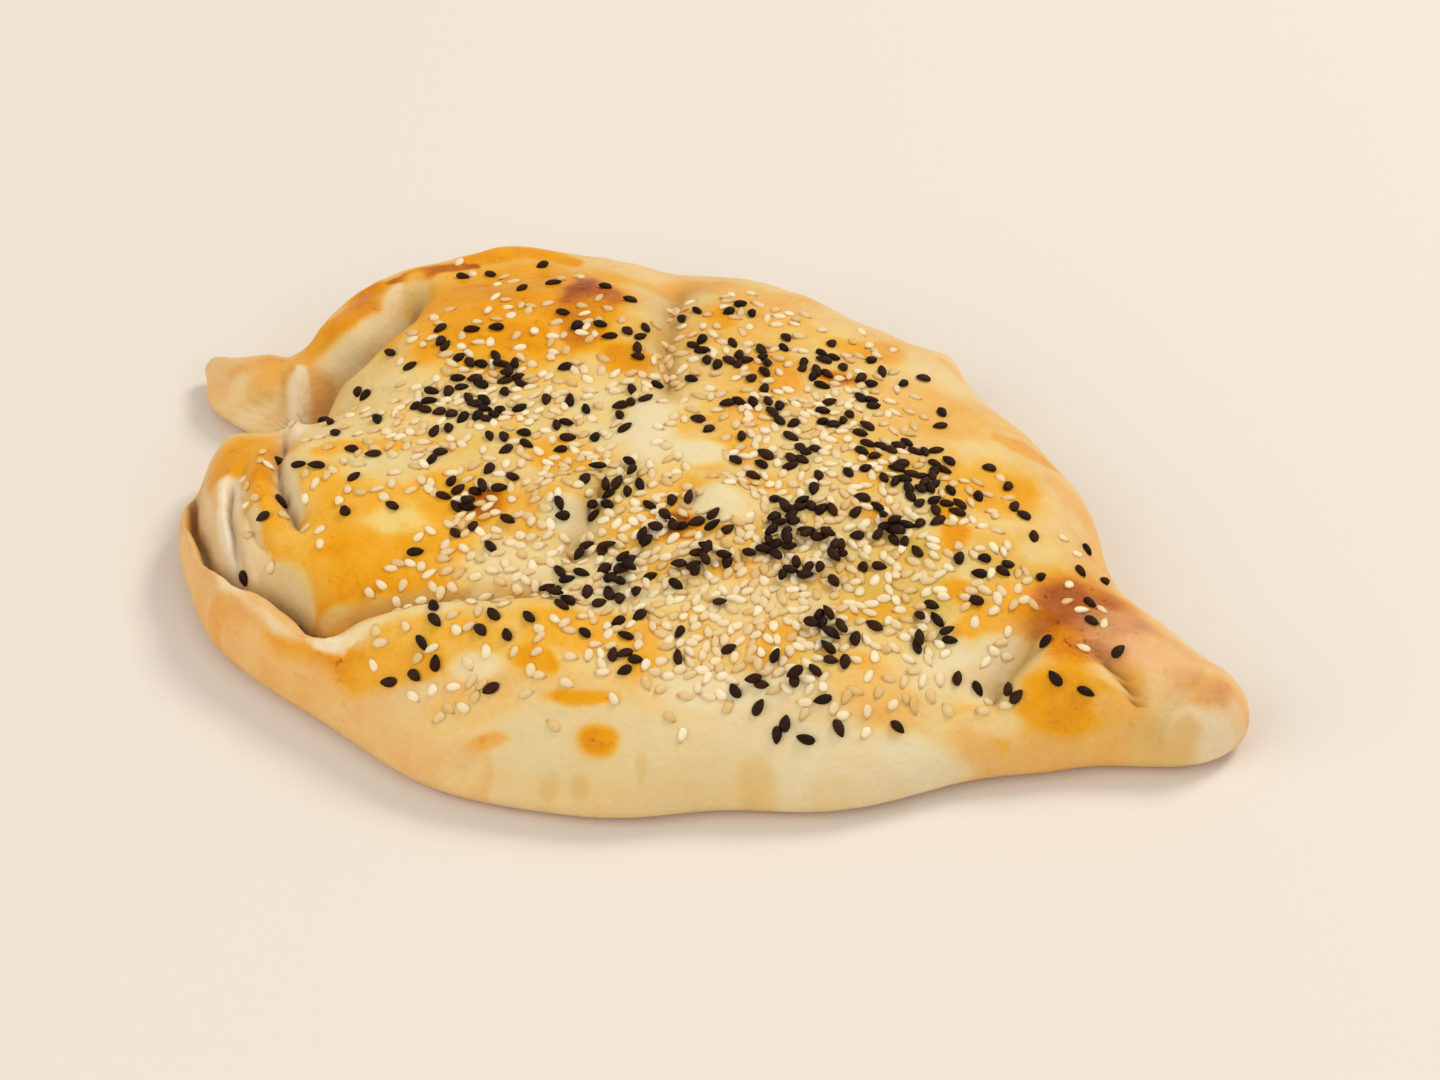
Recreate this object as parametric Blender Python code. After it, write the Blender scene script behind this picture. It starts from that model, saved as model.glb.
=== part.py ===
"""Fatayer: one baked, filled flatbread with pinched ends, folded flaps and a seeded top.

Millimetres throughout, turned to metres where a mesh is made. +X runs along the bread to its
rounded knob, +Y away from the front flap and +Z up. The origin is under the middle of the bread,
on the surface that it rests on. Bearings are degrees from +X, anticlockwise seen from above.
"""

import math
import random
from collections import namedtuple

import bmesh
import bpy
import numpy as np
from mathutils import Matrix, Vector

MM = 0.001

# The plan: an oval, blunt at the left end and tapered at the right
LENGTH = 156.1
WIDTH = 120.2
BLUNTNESS = 2.46  # exponent of the oval at its widest place
TAPER = 1.13  # how much that exponent grows to the left and falls to the right
TIP_ROUNDING = 0.045  # how much the oval's corners at its tips are rounded off
LOBES = (  # bearing, reach beyond the oval, spread in degrees
    (5, 5.7, 3.5),  # back corner of the knob
    (31.7, 2.3, 7.8),  # right back shoulder
    (57.3, -1.7, 4.5),  # dip before the ear
    (70.9, 2.9, 2.7),  # ear at the back right
    (81.8, 2.2, 3.1),
    (102.7, 4.56, 9.1),  # back edge
    (127.5, 1.7, 2.3),  # back left corner
    (148.4, -3.7, 4.7),  # flat run before the rim
    (162.6, 1.2, 3.1),  # rim
    (172.7, -4.7, 2),  # neck on the far side of the tip
    (175.1, 9.7, 2),  # pinched left tip, its far corner
    (179.7, 12.28, 4.6),  # and the rest of it
    (186.2, -16.2, 2),  # notch on its near side
    (213.7, -2.2, 6.1),  # thin front lip
    (260.3, 4.44, 11.2),  # front belly
    (301.6, -5, 10.3),  # front edge drawn in towards the knob
    (349.8, -3.4, 3.1),  # front of the waist
    (357.2, 16.62, 8.2),  # knob at the right tip
)

# The cross section: how wide the edge rounds over, how high it then stands, and the crown
EDGES = (  # bearing, width of the rounded edge, height of its shoulder
    (0, 8.0, 11.0),  # knob
    (20, 11.0, 13.5),
    (60, 12.0, 14.0),
    (110, 11.0, 14.5),  # back edge
    (150, 5.0, 15.5),  # raised rim behind the hollow
    (170, 4.0, 13.5),
    (175, 5.0, 7.5),
    (183, 5.0, 6.5),  # low left tip
    (190, 6.0, 12.5),  # orange shoulder
    (205, 3.6, 11.5),  # thin front lip
    (232, 5.0, 11.0),
    (250, 15.0, 13.5),  # front belly
    (300, 17.0, 14.5),
    (335, 11.0, 13.0),
)
SIDE_HEIGHT = 3.4  # where the edge reaches furthest out
FOOT_WIDTH = 5.0  # how far the flat underside lies inside that
FOOT_EDGE = 0.12  # whatever is lower than this rests on the ground
EVEN_SHOULDER = 13.5  # what the shoulders even out to further in
SHOULDER_RUN = 13.0
CROWN = 23.2
CROWN_RUN = 21.0

# Folds in the dough: a line drawn through a few places, the depth of its crease, and for the bank
# on each side of it the crease's width there, the height that the dough swells beside it and how
# far that swelling runs on. Left and right are seen along the line.
Fold = namedtuple("Fold", "places depth left right")
Bank = namedtuple("Bank", "width swell run")
FOLDS = {
    "front_flap": Fold(
        ((-39.5, -51), (-35, -51.5), (-30.5, -47.5), (-25, -44.5), (-19.5, -42.5), (-13.5, -39.5), (-8, -36), (-3, -30.5)),
        2.6,
        Bank(2.2, 0.2, 4),
        Bank(1.1, 1.8, 4.5),
    ),
    "back_seam": Fold(((-28, 52), (-23.5, 43), (-19, 32), (-14.5, 22), (-7.5, 8)), 2.2, Bank(3.6, 0.6, 6), Bank(3.2, 0.9, 6)),
    "middle_fold": Fold(((-8.5, -11), (-7.5, -17), (-6.5, -24), (-6.5, -28)), 2.0, Bank(2.2, 0.5, 4), Bank(1.6, 0.9, 5)),
    "right_dent": Fold(((60.5, -21), (61, -14.5), (61.5, -9), (61.5, -2)), 2.8, Bank(3.0, 0.4, 4), Bank(2.0, 1.0, 5)),
    "right_slit": Fold(((71, -3.8), (75, -5.4), (78.5, -6.8), (81.5, -8.2), (84.5, -10.6)), 1.7, Bank(1.2, 0.2, 3), Bank(1.1, 0.5, 3)),
    "knob_crease": Fold(((84.5, -12), (84.5, -6), (86, 1)), 1.2, Bank(1.8, 0.2, 3), Bank(1.4, 0.9, 4)),
    "shoulder_groove": Fold(
        ((-65.5, -12), (-61.5, -22), (-58, -27.5), (-53.5, -32.5), (-46.5, -38.5)), 3.2, Bank(1.8, 0.4, 5), Bank(1.6, 0.6, 3)
    ),
    "rim_hollow": Fold(
        ((-64.5, -11), (-67.5, -3), (-67, 3), (-63.5, 6.5), (-61.3, 12), (-62, 18), (-64, 25), (-65, 33)),
        7.4,
        Bank(4.4, 0.6, 3),
        Bank(1.8, 0.8, 6),
    ),
    "lip_crevice": Fold(
        (
            (-78.5, -18), (-76.5, -24), (-71.5, -32.5), (-66.5, -38.5), (-60.5, -43.3), (-54, -46),
            (-47, -47.6), (-41, -49.6), (-36.5, -51.3), (-32, -50),
        ),
        6.8,
        Bank(2.2, 0.8, 4),
        Bank(1.1, 1.0, 3),
    ),
    "inner_sheet": Fold(
        ((-66.5, -27), (-63, -34.5), (-59, -39.5), (-55.5, -43.5), (-52.5, -46)), 2.2, Bank(1.2, 0.4, 2), Bank(1.0, 0.6, 2)
    ),
    "tip_strip": Fold(((-75.5, 5), (-71.5, -0.5), (-69.5, -4), (-64.5, -12), (-61.5, -18)), -2.4, Bank(1.9, 0, 4), Bank(1.9, 0, 4)),
    "rim_ridge": Fold(
        ((-74.5, 2), (-72, 7.5), (-71, 14.5), (-70, 21), (-68.5, 26), (-66.5, 33)), -0.8, Bank(2.2, 0, 3), Bank(2.2, 0, 3)
    ),
}
LINE_STEPS = 24  # straight pieces that each fold's smooth line is drawn with
FADE = 0.16  # share of a line over which a fold comes in and dies away
CREASE_ROUNDING = 0.45

# Single swellings and dents: place, radii along X and Y, height
SWELLINGS = {
    "bald_blister": ((10, -6.5), (6.5, 5.5), 2.2),
    "pale_lump_back": ((-10, 6.5), (5.5, 8), 1.6),
    "pale_lobe": ((-13, -18.5), (5, 7), 1.8),
    "back_left_pillow": ((-35, 23.5), (19, 14), 1.3),
    "left_pillow": ((-43, -8.5), (17, 13), 1.2),
    "right_pillow": ((47, 1.5), (15, 12), 1.4),
    "front_belly": ((7, -46.5), (24, 9), 1.2),
    "knob": ((90.5, -2), (6, 7), 2.2),
    "tip_bulge": ((-83.5, 1.5), (6, 5), 1.5),
    "tip_dimple": ((-79.5, -4), (3.5, 3), -1.2),
    "tip_knuckle": ((-80.5, 5), (3, 2.2), 0.8),
    "tip_dent": ((-86, -1), (2.2, 3), -0.7),
    "back_valley": ((-30, 45.5), (6, 8), -1.6),
    "ear_dip": ((17, 49.5), (6, 5), -1.0),
}

# Gentle waves over the whole top: wavelength, bearing of travel, phase in turns, height
WAVES = ((64, 25, 0.10, 0.50), (43, 118, 0.37, 0.45), (31, 70, 0.62, 0.30), (23, 160, 0.18, 0.25), (17, 10, 0.81, 0.18))

# The mesh of the dough
BEARINGS = 400
RINGS = 190
EDGE_POINTS = 480  # points of the plan's edge that distances are taken to
DOUGH_TRIANGLES = 5000

# Seeds: length, width and thickness, how far the middle stands above the dough, and how many
NIGELLA = (2.7, 1.6, 1.3)
SESAME = (2.6, 1.5, 0.9)
NIGELLA_RISE = 0.35
SESAME_RISE = 0.20
NIGELLA_COUNT = 68
SESAME_COUNT = 62
SEED_GAP = 3.7  # least distance between two seeds' middles
SEED_DRAW = 20
SEED_PATCHES = (  # where the seeds lie thick: place, radii along X and Y, share of the seeds
    ((30.5, 12), (10, 9), 0.20),
    ((21.5, -18), (13, 8), 0.22),
    ((0.5, 18), (17, 13), 0.14),
    ((-36.5, 1), (10, 9), 0.13),
    ((-0.5, -27), (14, 7), 0.10),
    ((-26.5, 28), (18, 14), 0.07),
    ((-36.5, -19), (14, 9), 0.06),
    ((50.5, 6), (14, 12), 0.08),
)
SEED_BORDER = 9.0  # no seed lies nearer the plan's edge than this
SEED_HOLLOW = 0.35  # and none where the dough dips this far below what is around it


def oval_reach(bearing):
    """Distance from the origin to the plan's edge at a bearing in radians: a superellipse and its lobes."""
    bluntness = BLUNTNESS - TAPER * np.cos(bearing)
    across = np.hypot(np.cos(bearing), TIP_ROUNDING) / (LENGTH / 2)
    along = np.hypot(np.sin(bearing), TIP_ROUNDING) / (WIDTH / 2)
    reach = (across**bluntness + along**bluntness) ** (-1 / bluntness)
    for place, extra, spread in LOBES:
        turn = (np.degrees(bearing) - place + 180) % 360 - 180
        reach = reach + extra * np.exp(-0.5 * (turn / spread) ** 2)
    return reach


def edge_points():
    """The plan's edge as points, one for each step of bearing."""
    bearing = np.linspace(0, 2 * math.pi, EDGE_POINTS, endpoint=False)
    reach = oval_reach(bearing)
    return np.stack([reach * np.cos(bearing), reach * np.sin(bearing)], 1)


def inset_of(x, y):
    """How far inside the plan's edge a point lies, without a ridge where two edges are equally near.

    Close to the edge it is the plain distance. Further in, every stretch of the edge counts by the
    inverse fourth power of its distance, which gives the plain distance beside a straight edge.
    """
    start = edge_points()
    run = np.roll(start, -1, 0) - start
    length = np.hypot(run[:, 0], run[:, 1])
    off_x = x[..., None] - start[:, 0]
    off_y = y[..., None] - start[:, 1]
    along = np.clip((off_x * run[:, 0] + off_y * run[:, 1]) / length**2, 0, 1)
    plain = np.hypot(off_x - along * run[:, 0], off_y - along * run[:, 1]).min(-1)
    middle = (off_x - run[:, 0] / 2) ** 2 + (off_y - run[:, 1] / 2) ** 2
    pull = (length / np.maximum(middle, 0.25) ** 2).sum(-1)
    eased = (math.pi / 2 / pull) ** (1 / 3)
    inner = smooth_step((plain - 1.5) / 5)
    return plain + (eased - plain) * inner


def round_over(share):
    """A quarter circle: 0 at the edge, where it stands upright, and 1 where it has levelled out."""
    return np.sqrt(1 - (1 - np.clip(share, 0, 1)) ** 2)


def smooth_step(share):
    share = np.clip(share, 0, 1)
    return share * share * (3 - 2 * share)


def edge_at(bearing, column):
    """The rounded edge's width (column 1) or shoulder height (column 2) at a bearing, eased between EDGES."""
    turns = np.degrees(bearing) % 360
    places = np.array([edge[0] for edge in EDGES] + [360], float)
    values = np.array([edge[column] for edge in EDGES] + [EDGES[0][column]], float)
    left = np.searchsorted(places, turns, side="right") - 1
    share = (turns - places[left]) / (places[left + 1] - places[left])
    return values[left] + (values[left + 1] - values[left]) * smooth_step(share)


def smooth_line(points):
    """A Catmull-Rom curve through the points, as LINE_STEPS + 1 places evenly shared out between them."""
    points = np.array(points, float)
    ends = np.vstack([2 * points[0] - points[1], points, 2 * points[-1] - points[-2]])
    travel = np.linspace(0, len(points) - 1, LINE_STEPS + 1)
    piece = np.minimum(travel.astype(int), len(points) - 2)
    t = (travel - piece)[:, None]
    a, b, c, d = (ends[piece + n] for n in range(4))
    return 0.5 * (2 * b + (c - a) * t + (2 * a - 5 * b + 4 * c - d) * t**2 + (3 * b - 3 * c + d - a) * t**3)


def beside_line(x, y, line):
    """Distance from the line, positive on its left, and the share of its length that has been travelled."""
    nearest = np.full(np.shape(x), np.inf)
    side = np.ones(np.shape(x))
    travelled = np.zeros(np.shape(x))
    for n, (start, end) in enumerate(zip(line[:-1], line[1:])):
        run = end - start
        along = np.clip(((x - start[0]) * run[0] + (y - start[1]) * run[1]) / (run @ run), 0, 1)
        off_x = x - start[0] - along * run[0]
        off_y = y - start[1] - along * run[1]
        distance = np.hypot(off_x, off_y)
        closer = distance < nearest
        nearest = np.where(closer, distance, nearest)
        side = np.where(closer, np.sign(run[0] * off_y - run[1] * off_x), side)
        travelled = np.where(closer, (n + along) / (len(line) - 1), travelled)
    return nearest * side, travelled


def fold_height(x, y, fold):
    """A crease with a swollen bank on each side, fading out at both ends of its line."""
    offset, travelled = beside_line(x, y, smooth_line(fold.places))
    on_left = offset > 0
    distance = np.sqrt(offset**2 + CREASE_ROUNDING**2) - CREASE_ROUNDING
    width, swell, run = (np.where(on_left, left, right) for left, right in zip(fold.left, fold.right))
    crease = -fold.depth * np.exp(-distance / width)
    rise = swell * (distance / run) * np.exp(1 - distance / run)
    fade = smooth_step(travelled / FADE) * smooth_step((1 - travelled) / FADE)
    return (crease + rise) * fade


def top_height(x, y):
    """Height of the dough's upper side over a point of the plan."""
    bearing = np.arctan2(y, x)
    inset = inset_of(x, y)
    shoulder = EVEN_SHOULDER + (edge_at(bearing, 2) - EVEN_SHOULDER) * np.exp(-((inset / SHOULDER_RUN) ** 2))
    rounded = round_over(inset / edge_at(bearing, 1))
    crown = (CROWN - shoulder) * (1 - np.exp(-((inset / CROWN_RUN) ** 1.6)))
    relief = np.zeros(np.shape(x))
    for fold in FOLDS.values():
        relief = relief + fold_height(x, y, fold)
    for place, radii, height in SWELLINGS.values():
        spread = ((x - place[0]) / radii[0]) ** 2 + ((y - place[1]) / radii[1]) ** 2
        relief = relief + height * np.exp(-spread)
    for wavelength, travel, phase, height in WAVES:
        ahead = x * math.cos(math.radians(travel)) + y * math.sin(math.radians(travel))
        relief = relief + height * np.sin(2 * math.pi * (ahead / wavelength + phase))
    return SIDE_HEIGHT + (shoulder - SIDE_HEIGHT + crown + relief) * rounded


def crust_material():
    """Baked dough under a thin egg glaze: golden, slightly shiny."""
    material = bpy.data.materials.new("baked_dough")
    material.use_nodes = True
    shader = material.node_tree.nodes["Principled BSDF"]
    shader.inputs["Base Color"].default_value = (0.79, 0.52, 0.18, 1)
    shader.inputs["Roughness"].default_value = 0.45
    shader.inputs["Metallic"].default_value = 0.0
    return material


def make_dough(material):
    """A UV sphere pressed into the bread: its upper half becomes the top, its lower half the flat underside."""
    mesh = bpy.data.meshes.new("fatayer")
    ball = bmesh.new()
    bmesh.ops.create_uvsphere(ball, u_segments=BEARINGS, v_segments=RINGS, radius=1)
    ball.to_mesh(mesh)
    ball.free()
    points = np.empty(len(mesh.vertices) * 3, np.float32)
    mesh.vertices.foreach_get("co", points)
    points = points.reshape(-1, 3).astype(float)
    bearing = np.arctan2(points[:, 1], points[:, 0])
    reach = oval_reach(bearing) * np.minimum(np.hypot(points[:, 0], points[:, 1]), 1)
    x, y = reach * np.cos(bearing), reach * np.sin(bearing)
    foot = SIDE_HEIGHT * (1 - round_over(inset_of(x, y) / FOOT_WIDTH))
    z = np.where(points[:, 2] > -1e-6, top_height(x, y), foot)
    mesh.vertices.foreach_set("co", (np.stack([x, y, z], 1) * MM).astype(np.float32).ravel())
    mesh.update()
    dough = bpy.data.objects.new("fatayer", mesh)
    bpy.context.scene.collection.objects.link(dough)
    mesh.materials.append(material)
    thin = dough.modifiers.new("fewer_faces", "DECIMATE")
    thin.ratio = DOUGH_TRIANGLES / (2 * BEARINGS * (RINGS - 1))
    return dough


def seed_mesh(name, size, point, flatness, material):
    """A small drop: rounded at one end, drawn to a point at the other, with a flattened belly."""
    mesh = bpy.data.meshes.new(name)
    grain = bmesh.new()
    bmesh.ops.create_uvsphere(grain, u_segments=5, v_segments=4, radius=0.5)
    bmesh.ops.rotate(grain, verts=grain.verts, matrix=Matrix.Rotation(math.pi / 2, 3, "Y"))
    for vertex in grain.verts:
        narrowing = 1 - point * (vertex.co.x + 0.5)
        vertex.co.y *= narrowing
        vertex.co.z *= narrowing * (flatness if vertex.co.z < 0 else 1)
        vertex.co = Vector([a * b * MM for a, b in zip(vertex.co, size)])
    grain.to_mesh(mesh)
    grain.free()
    mesh.materials.append(material)
    return mesh


def in_crease(x, y):
    """Whether the dough dips here, seen against eight places around it."""
    turns = np.arange(8) * math.pi / 4
    around = top_height(x + 1.8 * np.cos(turns), y + 1.8 * np.sin(turns))
    return around.mean() - top_height(np.array([x]), np.array([y]))[0] > SEED_HOLLOW


def seed_places(count, draw, taken):
    """Places drawn from the seed patches, kept clear of the plan's edge and of each other."""
    places = []
    shares = [patch[2] for patch in SEED_PATCHES]
    while len(places) < count:
        centre, radii, _ = draw.choices(SEED_PATCHES, shares)[0]
        x = draw.gauss(centre[0], radii[0])
        y = draw.gauss(centre[1], radii[1])
        if inset_of(np.array([x]), np.array([y]))[0] < SEED_BORDER or in_crease(x, y):
            continue
        if all(math.hypot(x - a, y - b) > SEED_GAP for a, b in taken):
            taken.append((x, y))
            places.append((x, y))
    return places


def lie_on_top(place, rise, turn):
    """The matrix that lays a seed on the dough at a place, turned about the dough's own slope there."""
    step = 0.8
    x = np.array([place[0], place[0] + step, place[0] - step, place[0], place[0]])
    y = np.array([place[1], place[1], place[1], place[1] + step, place[1] - step])
    height = top_height(x, y)
    slope = Vector(((height[2] - height[1]) / (2 * step), (height[4] - height[3]) / (2 * step), 1)).normalized()
    stand = slope.to_track_quat("Z", "Y").to_matrix().to_4x4()
    middle = (Vector((place[0], place[1], height[0])) + slope * rise) * MM
    return Matrix.Translation(middle) @ stand @ Matrix.Rotation(turn, 4, "Z")


def scatter_seeds(collection, material):
    """Nigella and sesame, as objects that share one mesh for each kind."""
    draw = random.Random(SEED_DRAW)
    taken = []
    kinds = (
        (seed_mesh("nigella", NIGELLA, 0.42, 0.9, material), NIGELLA_COUNT, NIGELLA_RISE),
        (seed_mesh("sesame", SESAME, 0.50, 1.0, material), SESAME_COUNT, SESAME_RISE),
    )
    for mesh, count, rise in kinds:
        for place in seed_places(count, draw, taken):
            seed = bpy.data.objects.new(mesh.name, mesh)
            collection.objects.link(seed)
            seed.matrix_world = lie_on_top(place, rise, draw.uniform(0, 2 * math.pi))


def flatten_underside(mesh):
    """Brings the lowest points to exactly the ground, so that the bread rests on one flat face."""
    points = np.empty(len(mesh.vertices) * 3, np.float32)
    mesh.vertices.foreach_get("co", points)
    heights = points[2::3]
    heights[heights < FOOT_EDGE * MM] = 0
    mesh.vertices.foreach_set("co", points)
    mesh.update()


def fuse(dough, seeds):
    """Joins the seeds to the dough with one union, applies it and removes the loose seeds."""
    union = dough.modifiers.new("seeds", "BOOLEAN")
    union.operation = "UNION"
    union.operand_type = "COLLECTION"
    union.collection = seeds
    union.solver = "MANIFOLD"
    bpy.context.view_layer.update()
    evaluated = dough.evaluated_get(bpy.context.evaluated_depsgraph_get())
    joined = bpy.data.meshes.new_from_object(evaluated)
    dough.modifiers.clear()
    dough.data = joined
    joined.name = dough.name
    for seed in list(seeds.objects):
        bpy.data.objects.remove(seed)
    bpy.data.collections.remove(seeds)
    flatten_underside(joined)
    joined.shade_smooth()
    joined.set_sharp_from_angle(angle=math.radians(50))


def main():
    for old in list(bpy.data.objects):
        bpy.data.objects.remove(old)
    material = crust_material()
    dough = make_dough(material)
    seeds = bpy.data.collections.new("seeds")
    bpy.context.scene.collection.children.link(seeds)
    scatter_seeds(seeds, material)
    fuse(dough, seeds)


main()
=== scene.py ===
"""Fatayer: a baked, filled flatbread with pinched ends, folded flaps, egg glaze, sesame and nigella.

The script is laid out as an add-on and is run as a script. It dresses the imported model: the dough is
one closed skin over the plan of the bread, the seeds are two scattered meshes, and the stage is a
pale floor with soft light. Lengths in the tables and formulas are millimetres; meshes are in metres.
+X runs along the bread to its rounded knob, +Y away from the front flap, +Z up.
"""

import math

import bpy
import numpy as np
from bpy.props import FloatProperty, FloatVectorProperty, IntProperty, PointerProperty
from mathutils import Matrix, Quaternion, Vector


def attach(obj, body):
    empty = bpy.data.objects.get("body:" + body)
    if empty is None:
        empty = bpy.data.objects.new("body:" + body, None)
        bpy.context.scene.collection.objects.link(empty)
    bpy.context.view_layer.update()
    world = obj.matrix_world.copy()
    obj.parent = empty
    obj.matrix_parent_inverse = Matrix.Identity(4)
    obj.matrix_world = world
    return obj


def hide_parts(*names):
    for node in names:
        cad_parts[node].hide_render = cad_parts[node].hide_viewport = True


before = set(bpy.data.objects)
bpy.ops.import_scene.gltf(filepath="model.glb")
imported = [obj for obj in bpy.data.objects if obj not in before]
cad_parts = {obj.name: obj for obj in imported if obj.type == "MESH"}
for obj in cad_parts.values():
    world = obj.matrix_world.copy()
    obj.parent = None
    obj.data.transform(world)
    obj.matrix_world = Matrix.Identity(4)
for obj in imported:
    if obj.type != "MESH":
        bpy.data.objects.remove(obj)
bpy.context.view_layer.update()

bl_info = {
    "name": "Fatayer",
    "version": (1, 0, 0),
    "blender": (4, 5, 0),
    "location": "3D View > Sidebar > Fatayer",
    "description": "Makes a folded, filled flatbread with egg glaze, sesame and nigella seeds",
    "category": "Add Mesh",
}

MM = 0.001
PLAN_TURN = math.radians(25.3)  # patches of baking and of seeds lie at this angle to the bread's length

# The plan: an oval, blunt at the left end and tapered at the right, with lobes
OVAL = (156.1, 120.2)
BLUNTNESS = 2.46
TAPER = 1.13
TIP_ROUNDING = 0.045
LOBES = (  # bearing, reach beyond the oval, spread in degrees
    (5, 5.7, 3.5),  # back corner of the knob
    (31.7, 2.3, 7.8),  # right back shoulder
    (57.3, -1.7, 4.5),  # dip before the ear
    (70.9, 2.9, 2.7),  # ear at the back right
    (81.8, 2.2, 3.1),
    (102.7, 4.56, 9.1),  # back edge
    (127.5, 1.7, 2.3),  # back left corner
    (148.4, -3.7, 4.7),  # flat run before the rim
    (162.6, 1.2, 3.1),  # rim
    (172.7, -4.7, 2),  # neck on the far side of the tip
    (175.1, 9.7, 2),  # pinched left tip, its far corner
    (179.7, 12.28, 4.6),  # and the rest of it
    (186.2, -16.2, 2),  # notch on its near side
    (213.7, -2.2, 6.1),  # thin front lip
    (260.3, 4.44, 11.2),  # front belly
    (301.6, -5, 10.3),  # front edge drawn in towards the knob
    (349.8, -3.4, 3.1),  # front of the waist
    (357.2, 16.62, 8.2),  # knob at the right tip
)
EDGES = (  # bearing, width of the rounded edge, height of its shoulder
    (0, 8.0, 11.0),  # knob
    (20, 11.0, 13.5),
    (60, 12.0, 14.0),
    (110, 11.0, 14.5),  # back edge
    (150, 5.0, 15.5),  # raised rim behind the hollow
    (170, 4.0, 13.5),
    (175, 5.0, 7.5),  # left tip
    (183, 5.0, 6.5),
    (190, 6.0, 12.5),  # orange shoulder
    (205, 3.6, 11.5),  # thin front lip
    (232, 5.0, 11.0),
    (250, 15.0, 13.5),  # front belly
    (300, 17.0, 14.5),
    (335, 11.0, 13.0),
)
SIDE_HEIGHT = 3.4  # where the side is widest
FOOT_WIDTH = 5.0  # how far in the foot is rounded
EVEN_SHOULDER = 13.5  # what the shoulders even out to over this run
SHOULDER_RUN = 13.0
CROWN_RUN = 21.0  # over this inset the crown rises, with this exponent
CROWN_EASE = 1.6

# The inset: in how many stretches the outline is taken, up to where the plain distance holds and over
# how far it eases, the least distance that counts, and how many points are worked out at once
EDGE_POINTS = 480
PLAIN_INSET = 1.5
EASED_OVER = 5
LEAST_DISTANCE = 0.5
POINTS_AT_ONCE = 8000

# The grid: how closely its rings crowd to the rim above and below, and the rings that make the rim
TOP_CROWDING = 1.55
UNDER_CROWDING = 2.4
RIM_RINGS = 3

# Folds: the places that the crease runs through, its depth (below zero for a ridge), and for the bank on
# its left and on its right the crease's width there, the height that the dough swells beside it and how
# far that runs
FOLDS = {
    "front_flap": ((
        (-39.5, -51), (-35, -51.5), (-30.5, -47.5), (-25, -44.5), (-19.5, -42.5), (-13.5, -39.5), (-8, -36),
        (-3, -30.5)), 2.6, (1.8, 0.2, 4), (0.8, 1.8, 4.5)),
    "back_seam": (((-28, 52), (-23.5, 43), (-19, 32), (-14.5, 22), (-7.5, 8)), 2.2, (3.6, 0.6, 6), (3.2, 0.9, 6)),
    "middle_fold": (((-8.5, -11), (-7.5, -17), (-6.5, -24), (-6.5, -28)), 2, (2.2, 0.5, 4), (1.4, 0.9, 5)),
    "right_dent": (((60.5, -21), (61, -14.5), (61.5, -9), (61.5, -2)), 2.8, (2.8, 0.4, 4), (1.4, 1, 5)),
    "right_slit": ((
        (69.5, -3.9), (72.5, -5.7), (75.5, -6.9), (78.5, -7.9), (81, -8.8)), 2, (0.8, 0.15, 3), (0.6, 0.35, 2.5)),
    "knob_crease": (((84.5, -12), (84.5, -6), (86, 1)), 1.2, (1.8, 0.2, 3), (1.2, 0.9, 4)),
    "shoulder_groove": ((
        (-65.5, -12), (-61.5, -22), (-58, -27.5), (-53.5, -32.5), (-46.5, -38.5)), 3, (1.4, 0.4, 5), (1.2, 0.6, 3)),
    "rim_hollow": ((
        (-64.5, -11), (-67.5, -3), (-67, 3), (-63.5, 6.5), (-61.5, 12), (-62, 18), (-64, 25),
        (-65, 33)), 7.6, (4.2, 0.6, 3), (1.8, 0.8, 6)),
    "lip_crevice": ((
        (-78.5, -18), (-76.5, -24), (-71.5, -32.5), (-66.5, -38.5), (-60.5, -43.3), (-54, -46), (-47, -47.6),
        (-41, -49.6), (-36.5, -51.3), (-32, -50)), 7, (1.8, 0.8, 4), (0.9, 1, 3)),
    "inner_sheet": ((
        (-66.5, -27), (-63, -34.5), (-59, -39.5), (-55.5, -43.5), (-52.5, -46)), 2.4, (0.9, 0.4, 2), (0.7, 0.6, 2)),
    "sheet_edge": ((
        (-67, -23), (-62.5, -31.5), (-58.5, -36), (-55, -39.5), (-49.5, -43)), 1.2, (0.9, 0.5, 2), (0.7, 0.2, 1.5)),
    "tip_strip": ((
        (-75.5, 5), (-71.5, -0.5), (-69.5, -4), (-64.5, -12), (-61.5, -18)), -2.4, (1.8, 0, 4), (1.8, 0, 4)),
    "strip_side": (((-77.5, 4), (-73.5, -1.5), (-71.5, -4.5), (-66.5, -13)), 1.2, (0.8, 0.2, 2), (1.2, 0.2, 2)),
    "rim_ridge": ((
        (-74.5, 2), (-72, 7.5), (-71, 14.5), (-70, 21), (-68.5, 26), (-66.5, 33)), -0.8, (2, 0, 3), (2, 0, 3)),
}
LINE_STEPS = 24
FADE = 0.16  # share of a fold's length over which each end fades out
FOLD_WAVER = 0.5
CREASE_ROUNDING = 0.3
# The crease depth also darkens the crust in its creases as painted shade
DEEP_CREASE = 3  # a crease this deep counts in full for the crust's colour

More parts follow.
